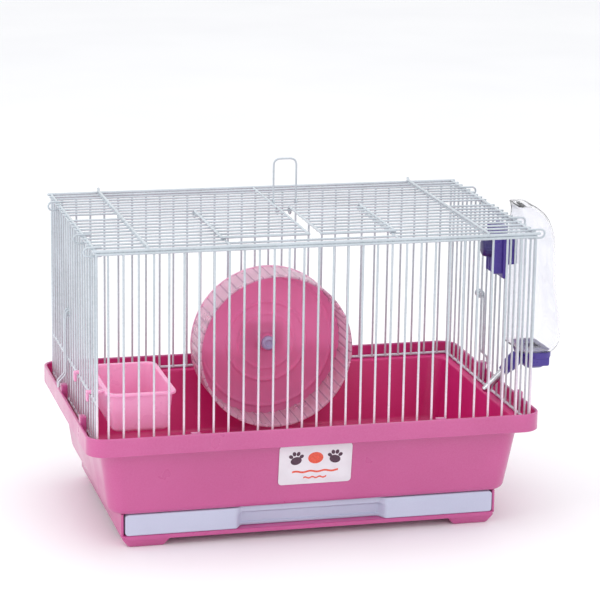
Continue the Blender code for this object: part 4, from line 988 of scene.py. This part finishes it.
def cap_and_spout():
    """Violet screw cap with a skirt, a slanted boss that holds the steel spout, and the ball in its tip."""
    high = BOTTLE_LOW - 0.3 * MM
    x = BOTTLE_X
    wide = BOTTLE_THICK / 2 / MM - 6
    outer = [(7.6, 11.4, 5, 16), (8.2, 12.4, 6, 15.4), (9.4, 14.6, 7, 13.6), (9.8, 16.4, 7.4, 11.6),
             (wide - 0.3, 22.8, 8, 5.8), (wide, 23.6, 8, 4.8), (wide, 24, 8, 4.2), (wide, 24, 8, 0.5),
             (wide - 0.5, 23.5, 7.6, 0)]
    bm = bmesh.new()
    loops = [[(x + u, BOTTLE_Y + v, high - drop * MM) for u, v in outline(hx * MM, hy * MM, corner * MM, 8)]
             for hx, hy, corner, drop in outer]
    angles = [math.atan2(v, u) for u, v in outline(wide * MM, 24 * MM, 8 * MM, 8)]
    loops += circles(angles, [(NECK_R + 0.4 * MM, z) for z in (high, high - 12 * MM)])
    skin(bm, loops)
    along(bm, [(4.0 * MM, 3.5 * MM), (4.6 * MM, 4.2 * MM), (4.9 * MM, 9 * MM), (6.1 * MM, 10.5 * MM),
               (6.2 * MM, 22 * MM)], closed=False)
    for side in (-1, 1):
        rounded_block(bm, (x - 7.6 * MM, BOTTLE_Y + side * 20.2 * MM - 2.6 * MM, high - 12 * MM),
                      (x + 8.4 * MM, BOTTLE_Y + side * 20.2 * MM + 2.6 * MM, high - 2 * MM), 1.6 * MM, 4)
    piece("cap_body", bm, VIOLET, "bottle", "bottle_cap")
    tube_r = 3.2 * MM
    bm = bmesh.new()
    tip = -18.5 * MM
    along(bm, [(tube_r - 0.9 * MM, tip), (tube_r - 0.35 * MM, tip + 0.15 * MM), (tube_r, tip + 1.2 * MM),
               (tube_r, 19 * MM), (tube_r - 0.6 * MM, 19 * MM), (tube_r - 0.6 * MM, tip + 1.6 * MM)])
    piece("spout_pipe", bm, STEEL, "bottle", "spout_tube")
    under, over = span("cap_seal", 2)
    bm = bmesh.new()
    skin(bm, circles(turns(48), ((7.2 * MM, under), (9.8 * MM, under), (10 * MM, under + 0.3 * MM),
                                 (10 * MM, over - 0.3 * MM), (9.8 * MM, over), (7.2 * MM, over))))
    piece("seal_ring", bm, RUBBER, "bottle", "cap_seal")
    ball = middle("spout_ball")
    radius = span("spout_ball", 1)[1] - ball.y
    bm = bmesh.new()
    bmesh.ops.create_icosphere(bm, subdivisions=4, radius=radius, matrix=Matrix.Translation(ball))
    piece("spout_ball_bearing", bm, STEEL, "spout_ball", "spout_ball")


def clip():
    """Ribbed violet clip inside the wires, its web out to the bottle and its round knob."""
    low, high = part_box("bottle_clip")
    inner = CAGE_X + HALF_L - WIRE_R - 0.3 * MM
    half = (high.y - low.y) / 2
    z0, z1 = low.z, high.z
    bm = bmesh.new()
    rounded_block(bm, (inner - 3.2 * MM, BOTTLE_Y - half, z0), (inner, BOTTLE_Y + half, z1), 1.2 * MM, 4)
    for share in (-0.82, -0.34, 0.14, 0.62):
        y = BOTTLE_Y + share * half
        rounded_block(bm, (inner - 11 * MM, y, z0 + 4 * MM),
                      (inner - 2.6 * MM, y + 3 * MM, z1 - 2 * MM), 1.1 * MM, 4)
    web = SIDE_STEP / 2 - WIRE_R - 0.5 * MM
    rounded_block(bm, (inner - MM, BOTTLE_Y - web, z0 + 10 * MM),
                  (BOTTLE_IN - 0.3 * MM, BOTTLE_Y + web, z1 - 10 * MM), 1.2 * MM, 4)
    piece("clip_body", bm, VIOLET, "wire_top", "bottle_clip")
    bm = bmesh.new()
    knob_z = z0 + 45 * MM * 0.55
    reach = low.x
    loops = []
    for x, radius in ((inner - 3 * MM, 8.4 * MM), (inner - 6 * MM, 8.2 * MM), (reach + 3.2 * MM, 7.6 * MM),
                      (reach + 1.4 * MM, 7.0 * MM), (reach + 0.4 * MM, 5.8 * MM), (reach, 4.2 * MM)):
        fluted = [(a, radius - 0.35 * MM * (k % 4 == 0)) for k, a in enumerate(turns(64))]
        loops.append([(x, BOTTLE_Y + r * math.cos(a), knob_z + r * math.sin(a)) for a, r in fluted])
    skin(bm, loops)
    piece("clip_knob", bm, VIOLET_DARK, "wire_top")


# ---------------- build
long_wires("front_wires", "front_panel", -1, FRONT_POSTS)
long_wires("back_wires", "back_panel", 1, BACK_POSTS)
side_wires("left_wires", "left_panel", -1)
side_wires("right_wires", "right_panel", 1)
roof()
door("left_door_wires", "left_door", LEFT_DOOR)
door("right_door_wires", "right_door", RIGHT_DOOR)
carry_loop()
for side_name, sign in (("left", -1), ("right", 1)):
    latch(side_name + "_latch_wire", side_name + "_latch", sign)
    for where in ("front", "middle", "back"):
        joining_hook(f"{side_name}_hook_wire_{where}", f"{side_name}_hook_{where}", sign)
tray()
tray_lugs()
label()
housing()
drawer()
bowl()
wheel()
wheel_mount()
bottle()
cap_and_spout()
clip()

# ---------------- camera at the photograph's viewpoint
CAMERA_AT = world(-0.4883, -1.9234, 0.6631)
CAMERA_RIGHT = Vector((0.96856, -0.24830, 0.01501))
CAMERA_UP = Vector((0.04548, 0.23611, 0.97066))
SENSOR, LENS = 36.0, 148.3           # millimetres
camera_data = bpy.data.cameras.new("camera")
camera_data.sensor_width = SENSOR
camera_data.lens = LENS
camera_data.clip_end = 50
camera = bpy.data.objects.new("camera", camera_data)
turn = Matrix((CAMERA_RIGHT, CAMERA_UP, CAMERA_RIGHT.cross(CAMERA_UP))).transposed()
camera.matrix_world = Matrix.Translation(CAMERA_AT) @ turn.to_4x4()
bpy.context.collection.objects.link(camera)
bpy.context.scene.camera = camera

# ---------------- pale floor and soft studio light
floor_look = Look("floor_white")
floor_tone = floor_look.remap(floor_look.noise(3, 2), 0.3, 0.7)
floor_look.finish(floor_look.mix(floor_tone, (0.93, 0.93, 0.94), (0.90, 0.90, 0.915)),
                  floor_look.remap(floor_tone, 0, 1, 0.55, 0.65),
                  floor_look.bump(floor_look.noise(200, 2), 0.02, 0.1 * MM))
floor_mesh = bmesh.new()
bmesh.ops.create_grid(floor_mesh, x_segments=8, y_segments=8, size=6)
floor_data = bpy.data.meshes.new("floor")
floor_mesh.to_mesh(floor_data)
floor_mesh.free()
floor_data.materials.append(floor_look.material)
floor = bpy.data.objects.new("floor", floor_data)
floor.location.z = -0.1 * MM
bpy.context.collection.objects.link(floor)


def soft_light(name, at, size, watts, colour=(1, 1, 1), aim=(0, 0, 0.12)):
    data = bpy.data.lights.new(name, "AREA")
    data.shape = "RECTANGLE"
    data.size, data.size_y = size
    data.energy = watts
    data.color = colour
    light = bpy.data.objects.new(name, data)
    light.location = at
    light.rotation_euler = (Vector(aim) - Vector(at)).to_track_quat("-Z", "Y").to_euler()
    bpy.context.collection.objects.link(light)


soft_light("key_left", (-1.7, -0.5, 0.9), (1.2, 1.2), 9)
soft_light("top", (0.1, 0.2, 1.9), (1.8, 1.8), 8)
soft_light("front_fill", (0.5, -2.2, 1.1), (1.6, 1.2), 8)
studio = bpy.data.worlds.new("studio")
studio.use_nodes = True
background = studio.node_tree.nodes["Background"]
background.inputs["Color"].default_value = (0.985, 0.99, 1.0, 1)
background.inputs["Strength"].default_value = 1.03
bpy.context.scene.world = studio
bpy.context.scene.view_settings.view_transform = "Standard"
